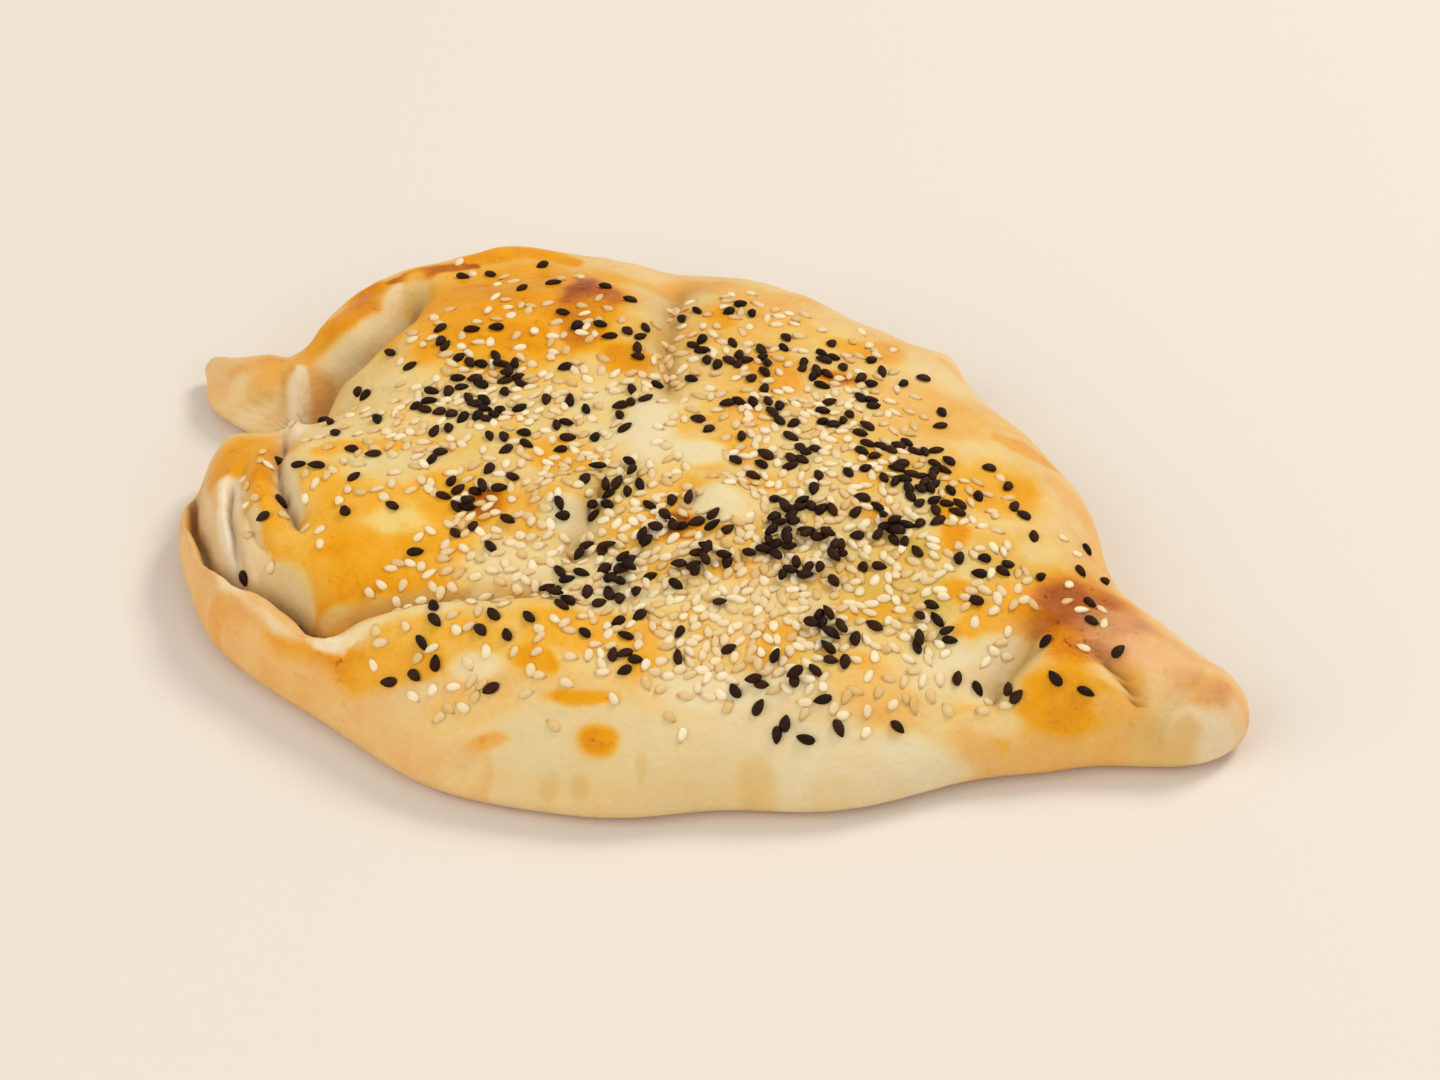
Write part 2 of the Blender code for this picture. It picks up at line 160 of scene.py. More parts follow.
# Single swellings and dents: place, radii along X and Y, height
SWELLINGS = {
    "bald_blister": ((10, -6.5), (5.5, 4.5), 2.4),
    "pale_lump_back": ((-10, 6.5), (5.5, 8), 1.6),
    "pale_lump_small": ((0, 3.5), (5, 3.6), 1),
    "pale_lobe": ((-13, -18.5), (5, 7), 1.8),
    "back_left_pillow": ((-35, 23.5), (19, 14), 1.3),
    "left_pillow": ((-43, -8.5), (17, 13), 1.2),
    "right_pillow": ((47, 1.5), (15, 12), 1.4),
    "front_belly": ((7, -46.5), (24, 9), 1.2),
    "knob": ((90.5, -2), (6, 7), 2.2),
    "tip_bulge": ((-83.5, 1.5), (6, 5), 1.5),
    "tip_dimple": ((-79.5, -4), (3.5, 3), -1.2),
    "tip_knuckle": ((-80.5, 5), (3, 2.2), 0.8),
    "tip_dent": ((-86, -1), (2.2, 3), -0.7),
    "back_valley": ((-30, 45.5), (6, 8), -1.6),
    "ear_dip": ((17, 49.5), (6, 5), -1),
}
WAVES = (  # wavelength, bearing, phase in turns, height
    (64, 25, 0.10, 0.50), (43, 118, 0.37, 0.45), (31, 70, 0.62, 0.30), (23, 160, 0.18, 0.25), (17, 10, 0.81, 0.18),
)

# Random hills: the size of the broadest and the draw of their heights, the same for the dough's small
# hills and how high those are beside the broad, how many sizes lie on each other, and how many heights
# are drawn each way
HILLS = {
    "dough": (12, 40), "folds_x": (9, 50), "folds_y": (9, 60), "warp_x": (8, 100), "warp_y": (8, 200),
    "broad_mottle": (13, 300), "fine_mottle": (5, 310), "blotches": (7, 320), "underside": (8, 320), "oil_and_shade": (9, 330),
}
SMALL_HILLS = (4, 45)
SMALL_HEIGHT = 0.3
OCTAVES = 3
LATTICE = 64

# How the crust baked, painted in this order, the later over the earlier: a place with its radii or a
# line with its half width, then in percent how brown (0 raw, 100 dark brown), how much egg glaze, how
# much of what is under it it covers and, where there is any, how floury and how oily it is. Some rows
# paint light and shade: floury white on lit slopes and ridges is painted highlight, and olive or brown
# lines and patches in creases, slits, dimples and hollows are painted shade
CRUST = (
    # Front belly. The pale floury strips low on its right lighten the slope where it turns from the light, as painted
    # light
    ((20, -52.5), (48, 7.5), 8, 0, 90, 0, 12), ((27, -38.5), (11, 3.5), 0, 5, 85, 20),
    (((-55.5, -52.5), (-44.5, -56.5), (-30, -59.5), (-16, -63.5), (-4, -63.5)), 4.5, 42, 10, 90),
    (((-4, -63.5), (15, -58.5), (35.5, -46.5), (53, -34.5), (64, -23.5)), 1.6, 36, 0, 35),
    ((54, -29.5), (14, 3), 36, 30, 80), ((46.5, -35.5), (20.5, 3), 4, 0, 80, 12, 5),
    ((56.5, -20), (8.5, 6), 5, 10, 80, 0, 10), ((55, -30.5), (8, 2), 0, 0, 75, 25),
    ((44, -40.5), (11, 1.5), 0, 0, 60, 18),
    # Rim at the back right
    ((14, 38.5), (4.5, 4), 26, 40, 50, 8, 10), (((24, 39.5), (30, 41), (36.5, 40)), 1.6, 30, 10, 70, 15),
    # Front of the right end
    ((55.5, -17), (5, 4), 0, 5, 85, 20), ((70, -15), (17.5, 6), 46, 95, 100), ((70, -14.5), (11, 3), 51, 100, 90),
    (((62.5, -18.5), (63, -21.5), (65, -22)), 1.6, 35, 80, 70),
    (((65.5, -22.5), (74.5, -16.5), (83.5, -11.5)), 2.2, 38, 20, 80),
    # Terracotta waist
    ((60, -2), (8, 8), 45, 95, 90), (((49.5, 31), (56, 28.5), (61, 23.5), (66, 10)), 3.5, 42, 25, 80),
    ((66, 1), (8.5, 10.5), 80, 85, 100), ((69, -5.5), (7, 3), 66, 95, 90), ((74, 0.5), (8, 6), 70, 35, 95, 12),
    ((80.5, -0.5), (8, 5), 55, 10, 90, 15),
    # Right dent: its slope towards the light is painted pale as a painted highlight, and its far face is painted
    # olive as painted shade
    ((59.5, -11), (4, 3.5), 2, 5, 100, 12), (((62.5, -7), (62.5, -11), (61.5, -14.5)), 1.7, 30, 0, 90, 0, 55),
    # Slit, with a dark olive line along it that is painted shade
    (((71, -9.5), (73.5, -8.5), (76.5, -8.5), (79, -8)), 1, 20, 30, 70, 10),
    (((68, -11), (70.5, -10.5), (73.5, -10.5)), 2, 42, 90, 70),
    (((74.5, -11.5), (78, -11.5), (81.5, -11)), 2.5, 36, 35, 70),
    (((74, -6.5), (77.5, -7.5), (80.5, -9)), 0.5, 68, 60, 95, 0, 80),
    # Knob
    ((82, -6.5), (3, 3), 26, 5, 85, 10, 5), ((85, -9.5), (6.5, 2), 36, 15, 90, 0, 50),
    ((89, -3.5), (8, 4), 50, 10, 100), ((85.5, -6.5), (3, 3), 28, 5, 80, 15, 10), ((92, -3), (3, 1.5), 42, 0, 80, 40),
    ((90, -2.5), (5, 2.5), 62, 20, 85, 5, 10), ((93.5, -2), (2, 3), 34, 0, 75, 30),
    ((91.5, -5.5), (6.5, 2), 12, 0, 80, 42), ((87.5, -8), (2.5, 1.5), 40, 10, 80, 0, 50),
    # Right side
    (((39.5, 35.5), (43, 36.5), (47, 36)), 3, 52, 50, 85), ((44, 19), (8, 7.5), 42, 85, 90),
    ((47.5, 22.5), (3, 3.5), 56, 85, 80), ((52.5, 2.5), (5, 5), 30, 70, 80, 0, 55),
    ((28.5, 31), (9, 7.5), 38, 40, 80),
    # Oily places
    ((39.5, -2), (5, 3.5), 20, 90, 90, 0, 85), ((39.5, -12), (6.5, 4.5), 24, 90, 90, 0, 80),
    ((47.5, -17), (4, 2), 18, 80, 70, 0, 70), ((46, -9.5), (3.5, 4.5), 24, 90, 80, 0, 80),
    # Orange streaks on the right
    (((40, 11.5), (44, 5), (44.5, -0.5)), 2.2, 58, 90, 90),
    (((47.5, -7.5), (50.5, -7), (53.5, -9.5), (51.5, -12.5)), 2, 52, 90, 85), ((32, 3), (3.5, 2), 62, 80, 80),
    ((55.5, -9), (5.5, 2), 42, 90, 90), ((39.5, -16.5), (6.5, 3), 42, 80, 80, 0, 30),
    # Pale dough under the seeds
    ((16, 9.5), (8, 6), 14, 40, 80, 5, 15), ((15.5, 4.5), (9, 6.5), 12, 40, 80, 5, 15),
    ((4.5, -32), (11, 3), 5, 30, 80, 15, 10), ((21.5, -23.5), (9, 4.5), 5, 30, 80, 12, 15),
    ((-15.5, -32.5), (7.5, 5), 6, 40, 80, 12, 10), ((-6, -31), (9, 3), 6, 40, 70, 12, 10),
    ((46.5, -28), (7.5, 3.5), 36, 50, 85),
    # Ear and back edge
    ((23.5, 49), (8.5, 8.5), 20, 5, 95), (((21.5, 53), (23.5, 53.5), (26.5, 51)), 1.6, 42, 10, 70),
    ((29.5, 37.5), (10, 4), 42, 35, 70), ((21.5, 37), (7.5, 3.5), 34, 45, 70),
    (((-24.5, 50), (-14, 48), (-5.5, 49.5), (1.5, 48)), 3.2, 44, 25, 85), ((5.5, 50.5), (9, 5.5), 20, 10, 80),
    ((13.5, 45), (3.5, 3.5), 52, 50, 80),
    # Middle of the back
    ((-6.5, 34.5), (11, 13), 34, 60, 80, 0, 10), ((-12.5, 36.5), (2.5, 3.5), 52, 85, 90),
    ((2.5, 27), (5.5, 6), 46, 70, 85), ((11.5, 32), (3.5, 2), 72, 80, 90), ((8.5, 5.5), (4, 3.5), 46, 60, 70),
    # Valley, with an olive line along the back seam that is painted shade on its shaded bank
    ((-34.5, 51.5), (11, 3.5), 25, 0, 70, 10), ((-25.5, 36.5), (6, 8.5), 5, 10, 100, 15, 20),
    (((-24, 45), (-18.5, 32), (-16, 25.5), (-8.5, 12)), 2, 25, 30, 75, 0, 60),
    ((-20.5, 7), (7.5, 5.5), 14, 40, 70, 5, 5),
    # Middle
    ((-14.5, -1.5), (6.5, 5), 10, 35, 75, 10, 15), ((-18.5, -7), (5.5, 4), 44, 80, 75),
    ((2, 13), (6.5, 4.5), 40, 80, 75, 0, 10), ((14.5, -3.5), (4, 4.5), 46, 85, 75, 0, 10),
    ((12.5, -20.5), (6.5, 2.5), 44, 85, 75, 0, 15), ((4.5, -38), (8, 2.5), 46, 90, 80),
    # Back left
    ((-45, 24), (23, 19), 49, 100, 100), (((-60.5, 38.5), (-56.5, 43.5), (-51, 47), (-45, 47.5)), 2.6, 50, 90, 95),
    ((-47.5, 27), (5, 4.5), 53, 100, 100), ((-37.5, 16.5), (4, 4), 58, 95, 90), ((-50.5, 6), (4, 3), 50, 80, 80),
    ((-42, 1), (7.5, 3), 36, 60, 60),
    # Brown spot
    ((-36, 32.5), (4, 7.5), 83, 92, 100), ((-31.5, 32.5), (3, 6), 74, 90, 90), ((-30, 22), (5, 8.5), 65, 100, 100),
    ((-19.5, 17.5), (4.5, 3.5), 60, 100, 100), (((-35, 21.5), (-32.5, 17.5), (-29.5, 15)), 0.9, 12, 50, 45, 10),
    # Raised rim
    (((-73, 1.5), (-73.5, 9.5), (-70.5, 12), (-71, 20), (-70.5, 26)), 3.3, 54, 85, 100),
    (((-73.5, 4.5), (-73.5, 9.5)), 2.2, 44, 90, 80), (((-71.5, 17.5), (-72, 22.5), (-71.5, 26)), 2, 62, 100, 100),
    (((-69.5, 28), (-66.5, 31.5), (-63, 35), (-59, 37.5)), 1.6, 82, 85, 90),
    # A cream streak on the rim's inner side, and an olive patch where the hollow ends, which is painted shade
    (((-66.5, 19), (-67.5, 24), (-68, 27)), 1.3, 16, 15, 80, 30), ((-64.5, 26), (2, 6), 16, 30, 70, 0, 35),
    # Wall and hollow inside the rim, where the brown in the hollow is painted shade
    (((-68.5, 4), (-66, 8), (-64, 14), (-65, 22)), 3, 2, 10, 100, 10, 18),
    (((-64.5, 1), (-58.5, 0.5), (-56, 4), (-55.5, 9)), 1.7, 30, 10, 85, 0, 50),
    ((-68.5, 2), (3, 3), 46, 10, 100, 0, 15),
    # Left tip
    ((-82.5, -1.5), (10, 7.5), 36, 12, 100, 5, 5), ((-87, 0), (3.5, 3), 46, 0, 80),
    (((-85, 1), (-80.5, 2), (-77, 4)), 1.4, 56, 25, 80), ((-76.5, 2), (3.5, 1.5), 42, 60, 80),
    ((-78, 0), (3.5, 1.5), 42, 60, 75, 0, 10), ((-83, -1.5), (1.5, 2), 20, 0, 35, 15),
    # An olive patch in the tip's dimple, which is painted shade, and pale dough low on the tip
    ((-78, -2.5), (3, 1), 34, 20, 85, 0, 80), ((-80, -4.5), (5.5, 1), 14, 0, 85, 20, 10),
    # Left strip: pale dough made floury white, partly a painted highlight where the ridge catches the light
    (((-72.5, 2), (-71.5, -1), (-63.5, -14), (-63, -16.5)), 1.9, 10, 5, 95, 50),
    (((-63, -16), (-62.5, -21), (-57.5, -28.5)), 1.6, 5, 10, 90, 70),
    # Left shoulder
    ((-66.5, -23.5), (6.5, 8), 50, 90, 100), ((-60.5, -30), (2.5, 3), 64, 90, 90),
    (((-59, -32), (-55, -36.5), (-51, -39.5), (-46.5, -40.5)), 2.6, 49, 95, 100), ((-48, -32), (5, 10.5), 40, 90, 90),
    (((-58, -26), (-54.5, -30.5), (-50.5, -34)), 1.4, 8, 15, 85, 40, 10),
    # Left pillow
    ((-55.5, -5.5), (9, 8.5), 16, 35, 90, 0, 15), (((-54, -22.5), (-50, -19), (-42.5, -17.5)), 2.4, 42, 85, 85),
    ((-36, -33.5), (15, 9), 38, 90, 100), ((-35, -39.5), (12.5, 3.5), 47, 100, 100),
    ((-30.5, -43.5), (13.5, 4), 51, 100, 100), ((-33.5, -32), (6, 2.5), 20, 75, 90),
    ((-31.5, -44), (1.5, 0.5), 72, 90, 70), ((-29.5, -23), (5, 5), 48, 100, 90),
    # Foot of the flap, with an olive line above the flap's ridge that is painted shadow
    (((-49, -44), (-45, -46), (-41.5, -48)), 2.2, 12, 35, 85, 0, 40),
    (((-36.5, -48.5), (-31.5, -46), (-25.5, -43)), 1.3, 42, 90, 85, 0, 20),
    (((-36, -49), (-30.5, -46), (-24, -42.5), (-17, -39.5)), 1.2, 42, 50, 85, 0, 60),
    # Sheets behind the lip, with a thin olive line in the crease between them that is painted shade
    (((-66.5, -30), (-63, -37), (-58.5, -42), (-53.5, -45)), 2.7, 10, 5, 100, 55),
    (((-68.5, -31), (-65.5, -36.5), (-61, -41.5)), 0.9, 42, 10, 75, 10),
    (((-66.5, -31), (-62.5, -36.5), (-58.5, -41), (-55, -44)), 0.5, 0, 0, 90, 100),
    (((-61, -36.5), (-57, -41), (-53, -45), (-50.5, -45.5)), 0.45, 30, 10, 55, 0, 50),
    (((-58, -36), (-54, -41.5), (-50, -44)), 1.5, 30, 20, 85, 25),
    (((-50.5, -45.5), (-46, -47), (-41, -48.5)), 2.2, 10, 10, 90, 15, 35),
    ((-36.5, -48.5), (3, 1), 20, 35, 85, 0, 50),
    # Lip
    (((-73.5, -30), (-63.5, -43.5), (-57, -50), (-49, -54.5), (-39.5, -57), (-29.5, -59)), 4.2, 42, 0, 100),
    (((-73.5, -27), (-67, -36), (-62, -41.5), (-51.5, -51), (-45, -53), (-38.5, -54.5)), 1.3, 20, 0, 80, 25),
    (((-56.5, -50), (-50, -53.5), (-43, -55.5)), 2.2, 56, 35, 80),
    (((-45, -55), (-37, -56.5), (-29, -56.5), (-21, -55.5)), 2.6, 52, 80, 95),
    (((-35, -56.5), (-29, -56.5), (-25, -55.5)), 1.6, 60, 90, 80),
    (((-53, -54), (-44, -57), (-34.5, -59), (-23, -62)), 2.6, 40, 10, 85),
    # Flour at the flap's ridge
    (((-35, -54.5), (-31.5, -54), (-28.5, -52.5)), 1.1, 3, 5, 85, 70),
    (((-37, -54), (-34, -54.5), (-30, -55)), 0.7, 20, 20, 60, 40),
    (((-30.5, -53.5), (-26.5, -50), (-20, -46), (-15.5, -39.5)), 1.5, 12, 40, 85, 15),
    # Red spot left of the centre
    ((-23.5, -22.5), (3.5, 3.5), 80, 90, 100), ((-15, -20.5), (6.5, 5.5), 42, 60, 70),
    # Pale blisters
    ((-9.5, -21), (4, 4), 0, 15, 100, 15, 15), ((-9, 3.5), (4, 9), 0, 15, 100, 20, 10),
    ((0.5, 0.5), (5.5, 3), 0, 15, 100, 20, 10), ((10, -9), (5.5, 4), 0, 30, 100, 15, 10),
    ((16, -5.5), (3.5, 3.5), 8, 30, 70, 10, 15),
    # Pale dough at the front right
    ((10, -19), (6.5, 3), 16, 45, 75, 8, 15), ((9.5, -38), (6.5, 3.5), 12, 35, 70, 10, 10),
    ((-6, -46), (5, 1.5), 20, 40, 60, 5), ((41, -21.5), (6, 3), 14, 40, 70, 10, 20),
    ((52.5, -22), (5.5, 2.5), 10, 20, 70, 12, 10), ((59, -17.5), (5, 3), 10, 15, 75, 12, 10),
    ((61.5, -21.5), (5, 1.5), 16, 12, 60, 10),
    # Brown spot in the centre
    ((21, -8), (3.5, 2.5), 10, 40, 80, 0, 40), ((4, -15.5), (4, 2.5), 82, 90, 100),
    ((6.5, -17.5), (3.5, 2), 66, 90, 90),
    # Flap
    (((-23, -53), (-13, -49.5), (-1.5, -43), (8.5, -39.5)), 4.5, 36, 85, 90), ((-20.5, -55), (7.5, 2.5), 44, 90, 90),
    (((-4.5, -48), (-1.5, -48.5), (1.5, -48.5)), 1.8, 52, 100, 95), ((7.5, -50), (5.5, 1), 48, 95, 95),
    ((-9.5, -51.5), (4, 2), 14, 30, 90, 35), ((-7.5, -57), (8.5, 3), 36, 40, 85), ((12, -38), (3, 4), 44, 80, 80),
    # Spots on the front
    ((-3, -59.5), (3.5, 1), 48, 60, 80), ((12, -53.5), (3.5, 2), 53, 90, 100),
    ((34.5, -46), (3.5, 2), 32, 10, 70, 0, 40), ((44.5, -41), (3.5, 1.5), 30, 10, 30, 0, 35),
    ((7.5, -60), (1.5, 1), 35, 0, 45, 0, 70), ((11.5, -58.5), (1.5, 1), 35, 0, 45, 0, 70),
    ((19, -53), (1, 1.5), 35, 0, 45, 0, 70),
)

# A patch is whole up to the reach less the ease, in its own radii, and gone at the reach. A line slims to
# its ends, which have this share of its width, over this share of its length
PATCH_REACH = 1.4
PATCH_EASE = 0.85
END_WIDTH = 0.6
END_RUN = 0.25

# How far patches are warped, and at most in shares of their size
WARP = 1.7
WARP_SHARE = 0.2

# Unpainted dough: how brown it is bare, and what the glaze adds to that, how thick it lies and how oily
# it is, each as an even share and one that varies with random hills
BARE_BROWN = 0.32
GLAZED_BROWN = (-0.08, 0.12)
GLAZE_THICKNESS = (0.55, 0.35)
OILINESS = (0.16, 0.2)

# How far in the glaze begins and over how far it thickens, how much the brown is mottled, and how much
# creases take from the shine
GLAZE_FROM = 6
GLAZE_OVER = 10
MOTTLE = 0.05
CREASE_MATTING = 0.6
UNDERSIDE = 1.5  # below this height the crust baked evenly and has no glaze
UNDERSIDE_BROWN = (0.5, 0.1)

# The crust's colours by how brown it is, bare and glazed
BARE_TONES = ((0, "#E5D2A2"), (0.25, "#E7C78C"), (0.5, "#E2AD6A"), (0.75, "#CE8B56"), (1, "#8E5428"))
GLAZED_TONES = (
    (0, "#E5D79A"), (0.2, "#ECC86E"), (0.36, "#ECAE34"), (0.5, "#E89E08"), (0.62, "#DA8808"), (0.78, "#B25C10"),
    (0.9, "#904210"), (1, "#702E08"),
)

# Seeds, patch by patch: place, radii, how many
NIGELLA_PATCHES = (
    # Back
    ((-50, 35), (10, 8), 5), ((-42, 13), (13, 6), 7), ((-21, 25), (10, 13), 11), ((-8, 34), (11, 13), 12),
    ((-5, 26), (6, 5), 11), ((14, 36), (8, 8), 6), ((11, 36), (4, 5), 5), ((25, 38), (7, 6), 3),
    # Left
    ((-36, 2), (8, 7), 28), ((-37, 4), (3, 4), 4), ((-36, -13), (4, 4), 4), ((-24, -7), (5, 3), 5),
    ((-48, -6), (13, 11), 9), ((-50, -26), (11, 18), 12),
    # Middle
    ((-20, 6), (9, 11), 13), ((-4, 9), (9, 13), 5), ((5, 17), (3, 5), 6), ((9, 12), (9, 11), 11),
    ((15, 7), (4, 3), 6),
    # Right
    ((18, 19), (7, 10), 9), ((12, 26), (3, 5), 4), ((18, 26), (3, 5), 4), ((32, 11), (9, 9), 39),
    ((23, -1), (9, 9), 15), ((36, -1), (2, 4), 7),
    # Centre
    ((-8, -14), (9, 7), 6), ((-5, -9), (6, 3), 6), ((1, -19), (3, 3), 4), ((-7, -20), (4, 6), 4),
    ((7, -13), (6, 4), 9), ((3, -26), (4, 5), 13), ((14, -21), (4, 2), 9), ((8, -28), (15, 6), 9),
    ((18, -11), (7, 6), 6), ((-3, -35), (3, 2), 4), ((24, -11), (6, 7), 25),
    # Left of the centre
    ((-26, -23), (9, 10), 5), ((-25, -27), (3, 3), 5), ((-24, -20), (4, 1), 4), ((-18, -38), (13, 9), 5),
    # Right end
    ((47, 4), (9, 19), 7), ((54, 0), (3, 3), 4), ((61, 6), (8, 17), 10), ((39, -12), (11, 7), 5),
    ((46, -16), (6, 2), 5),
    # Front
    ((18, -34), (13, 7), 11), ((33, -29), (8, 6), 5), ((35, -24), (3, 4), 8), ((33, -32), (5, 2), 5),
    ((47, -29), (22, 5), 6), ((-12, -51), (17, 6), 9), ((66, -16), (7, 3), 4), ((39, -40), (11, 5), 3),
)
SESAME_PATCHES = (
    # Back
    ((-50, 37), (11, 7), 8), ((-41, 17), (16, 10), 37), ((-25, 23), (11, 12), 18), ((-8, 34), (11, 15), 54),
    ((11, 39), (11, 11), 22),
    # Left and middle
    ((-37, -3), (16, 13), 99), ((-18, 5), (11, 12), 39), ((-4, 10), (10, 13), 19), ((10, 13), (11, 12), 61),
    # Right and left
    ((20, 21), (10, 13), 45), ((-53, -29), (9, 17), 22), ((-39, -23), (11, 10), 18), ((-23, -20), (10, 10), 39),
    # Centre
    ((-8, -13), (11, 10), 61), ((9, -13), (11, 10), 45), ((23, -3), (10, 11), 67),
    # Right end
    ((38, 4), (11, 13), 45), ((51, 12), (8, 18), 14),
    # In front of the centre
    ((-18, -35), (13, 7), 52), ((-1, -28), (13, 7), 54), ((17, -22), (11, 6), 54), ((32, -13), (11, 8), 54),
    ((47, -9), (11, 8), 25), ((63, -4), (11, 14), 8),
    # Front
    ((-45, -46), (7, 7), 4), ((-10, -48), (18, 6), 18), ((11, -38), (13, 8), 52), ((26, -30), (11, 7), 52),
    ((40, -24), (11, 9), 37), ((23, -42), (41, 4), 15), ((-16, -57), (11, 4), 6), ((63, -22), (7, 3), 4),
)

# Bare blisters in the crust that no seed lies on: place and radii
BALD_PATCHES = {
    "back_lump": ((-9.5, 3.5), (2.5, 6.5)), "middle_lump": ((1, 3), (4, 4)), "blister": ((11, -8.5), (4.5, 3)),
    "lobe": ((-9, -19), (2, 3.5)), "valley": ((-24.5, 34.5), (2.5, 6.5)), "left_lump": ((-30.5, -28.5), (4.5, 3)),
}

# Each kind of seed: its patches, its form (how steeply the radius rises and falls, how many corners the
# section has and how flat the belly is), the gap that it keeps, how much of it is sunk in, how much its
# size varies, and its coat (name, dark, light and end colour, roughness, shine)
SEED_KINDS = {
    "sesame_seeds": {
        "patches": SESAME_PATCHES, "form": (0.50, 0.85, 0, 0.8), "gap": 1.25, "sunk": 0.36, "spread": 0.14,
        "coat": ("sesame_hull", "#DDB673", "#F7E8C2", "#C48F4A", 0.5, 0.25),
    },
    "nigella_seeds": {
        "patches": NIGELLA_PATCHES, "form": (0.55, 0.75, 3, 0.9), "gap": 1.6, "sunk": 0.26, "spread": 0.13,
        "coat": ("nigella_hull", "#201005", "#3A1E0A", "#180B05", 0.55, 0.12),
    },
}
SEED_RINGS, SEED_SIDES = 6, 8
CORNER_RELIEF = 0.10

# Scattering: how many radii a patch reaches, the share of seeds kept beyond one radius, the margin to
# the rim, the tries for each seed and those of them in which it lies on no other, the least distance of
# two seeds and the highest level of a pile
PATCH_SPREAD = 1.35
STRAY_SHARE = 0.3
RIM_MARGIN = 5
TRIES, TRIES_ALONE = 60, 30
LEAST_GAP = 0.8
TOP_LEVEL = 2

# Setting down: over how far the slope is taken, how much seeds tilt alone and on others, and how much of
# its thickness each level of a pile rises
SLOPE_STEP = 0.7
TILT, PILED_TILT = 0.10, 0.22
PILE_STEP = 0.62

CAMERA_AIM = (1.9, 8.75, 0)
FLOOR_REACH = 3000
LAMPS = {  # place and size in metres, power in watts, colour
    "key": ((0.45, 0.95, 1.15), 0.55, 11.5, "#FFF6E8"),
    "fill": ((-0.75, -1.05, 0.85), 1.4, 10.0, "#FFFAF2"),
    "side": ((1.1, -0.5, 0.8), 0.9, 3.5, "#FFFFFF"),
}
ROOM_LIGHT = ("#FFFDFA", 0.5)  # colour and strength


def linear(hex_colour):
    """A colour written as sRGB hex, turned to linear light."""
    parts = [int(hex_colour[n : n + 2], 16) / 255 for n in (1, 3, 5)]
    return [c / 12.92 if c <= 0.04045 else ((c + 0.055) / 1.055) ** 2.4 for c in parts]


def smooth_step(share):
    """0 up to 0 and 1 from 1 on, eased between."""
    share = np.clip(share, 0, 1)
    return share * share * (3 - 2 * share)


def round_over(share):
    """A quarter circle: 0 at the edge, where it stands upright, and 1 where it has levelled out."""
    return np.sqrt(1 - (1 - np.clip(share, 0, 1)) ** 2)


def hills(x, y, size, draw):
    """Smooth random hills about one size across, from -1 to 1: random heights on a lattice, eased between."""
    heights = np.random.default_rng(draw).uniform(-1, 1, (LATTICE, LATTICE))
    across, along = x / size + LATTICE / 2, y / size + LATTICE / 2
    i, j = np.floor(across).astype(int), np.floor(along).astype(int)
    u, v = smooth_step(across - i), smooth_step(along - j)
    i, j, i2, j2 = i % LATTICE, j % LATTICE, (i + 1) % LATTICE, (j + 1) % LATTICE
    near = heights[i, j] * (1 - u) + heights[i2, j] * u
    far = heights[i, j2] * (1 - u) + heights[i2, j2] * u
    return near * (1 - v) + far * v


def rough_hills(x, y, kind):
    """Hills with smaller hills on them, each half the size and half the height of the last."""
    size, draw = HILLS[kind]
    return sum(hills(x, y, size / 2**n, draw + n) / 2**n for n in range(OCTAVES))


def oval_reach(bearing):
    """Distance from the middle to the plan's edge: a superellipse whose exponent changes with bearing, plus lobes."""
    bluntness = BLUNTNESS - TAPER * np.cos(bearing)
    across = np.hypot(np.cos(bearing), TIP_ROUNDING) / (OVAL[0] / 2)
    along = np.hypot(np.sin(bearing), TIP_ROUNDING) / (OVAL[1] / 2)
    reach = (across**bluntness + along**bluntness) ** (-1 / bluntness)
    for place, extra, spread in LOBES:
        turn = (np.degrees(bearing) - place + 180) % 360 - 180
        reach = reach + extra * np.exp(-0.5 * (turn / spread) ** 2)
    return reach


def inset_of(x, y):
    """How far inside the plan's edge each point lies, without a ridge where two edges are equally near.

    Close to the edge it is the plain distance. Further in, every stretch of the edge counts by the
    inverse fourth power of its distance, which gives the plain distance beside a straight edge.
    """
    shape = np.shape(x)
    x, y = np.ravel(x), np.ravel(y)
    if x.size > POINTS_AT_ONCE:
        starts = range(0, x.size, POINTS_AT_ONCE)
        parts = [inset_of(x[n : n + POINTS_AT_ONCE], y[n : n + POINTS_AT_ONCE]) for n in starts]
        return np.concatenate(parts).reshape(shape)
    bearing = np.linspace(0, 2 * math.pi, EDGE_POINTS, endpoint=False)
    reach = oval_reach(bearing)
    start = np.stack([reach * np.cos(bearing), reach * np.sin(bearing)], 1)
    run = np.roll(start, -1, 0) - start
    length = np.hypot(run[:, 0], run[:, 1])
    off_x, off_y = x[:, None] - start[:, 0], y[:, None] - start[:, 1]
    along = np.clip((off_x * run[:, 0] + off_y * run[:, 1]) / length**2, 0, 1)
    plain = np.hypot(off_x - along * run[:, 0], off_y - along * run[:, 1]).min(-1)
    middle = (off_x - run[:, 0] / 2) ** 2 + (off_y - run[:, 1] / 2) ** 2
    middle = np.maximum(middle, LEAST_DISTANCE**2)
    eased = (math.pi / 2 / (length / middle**2).sum(-1)) ** (1 / 3)
    return (plain + (eased - plain) * smooth_step((plain - PLAIN_INSET) / EASED_OVER)).reshape(shape)


def edge_at(bearing):
    """The rounded edge's width and its shoulder's height at a bearing, eased between EDGES."""
    turns = np.degrees(bearing) % 360
    places, *columns = np.array([*EDGES, (360, *EDGES[0][1:])], float).T
    left = np.searchsorted(places, turns, side="right") - 1
    share = smooth_step((turns - places[left]) / (places[left + 1] - places[left]))
    return [values[left] + (values[left + 1] - values[left]) * share for values in columns]


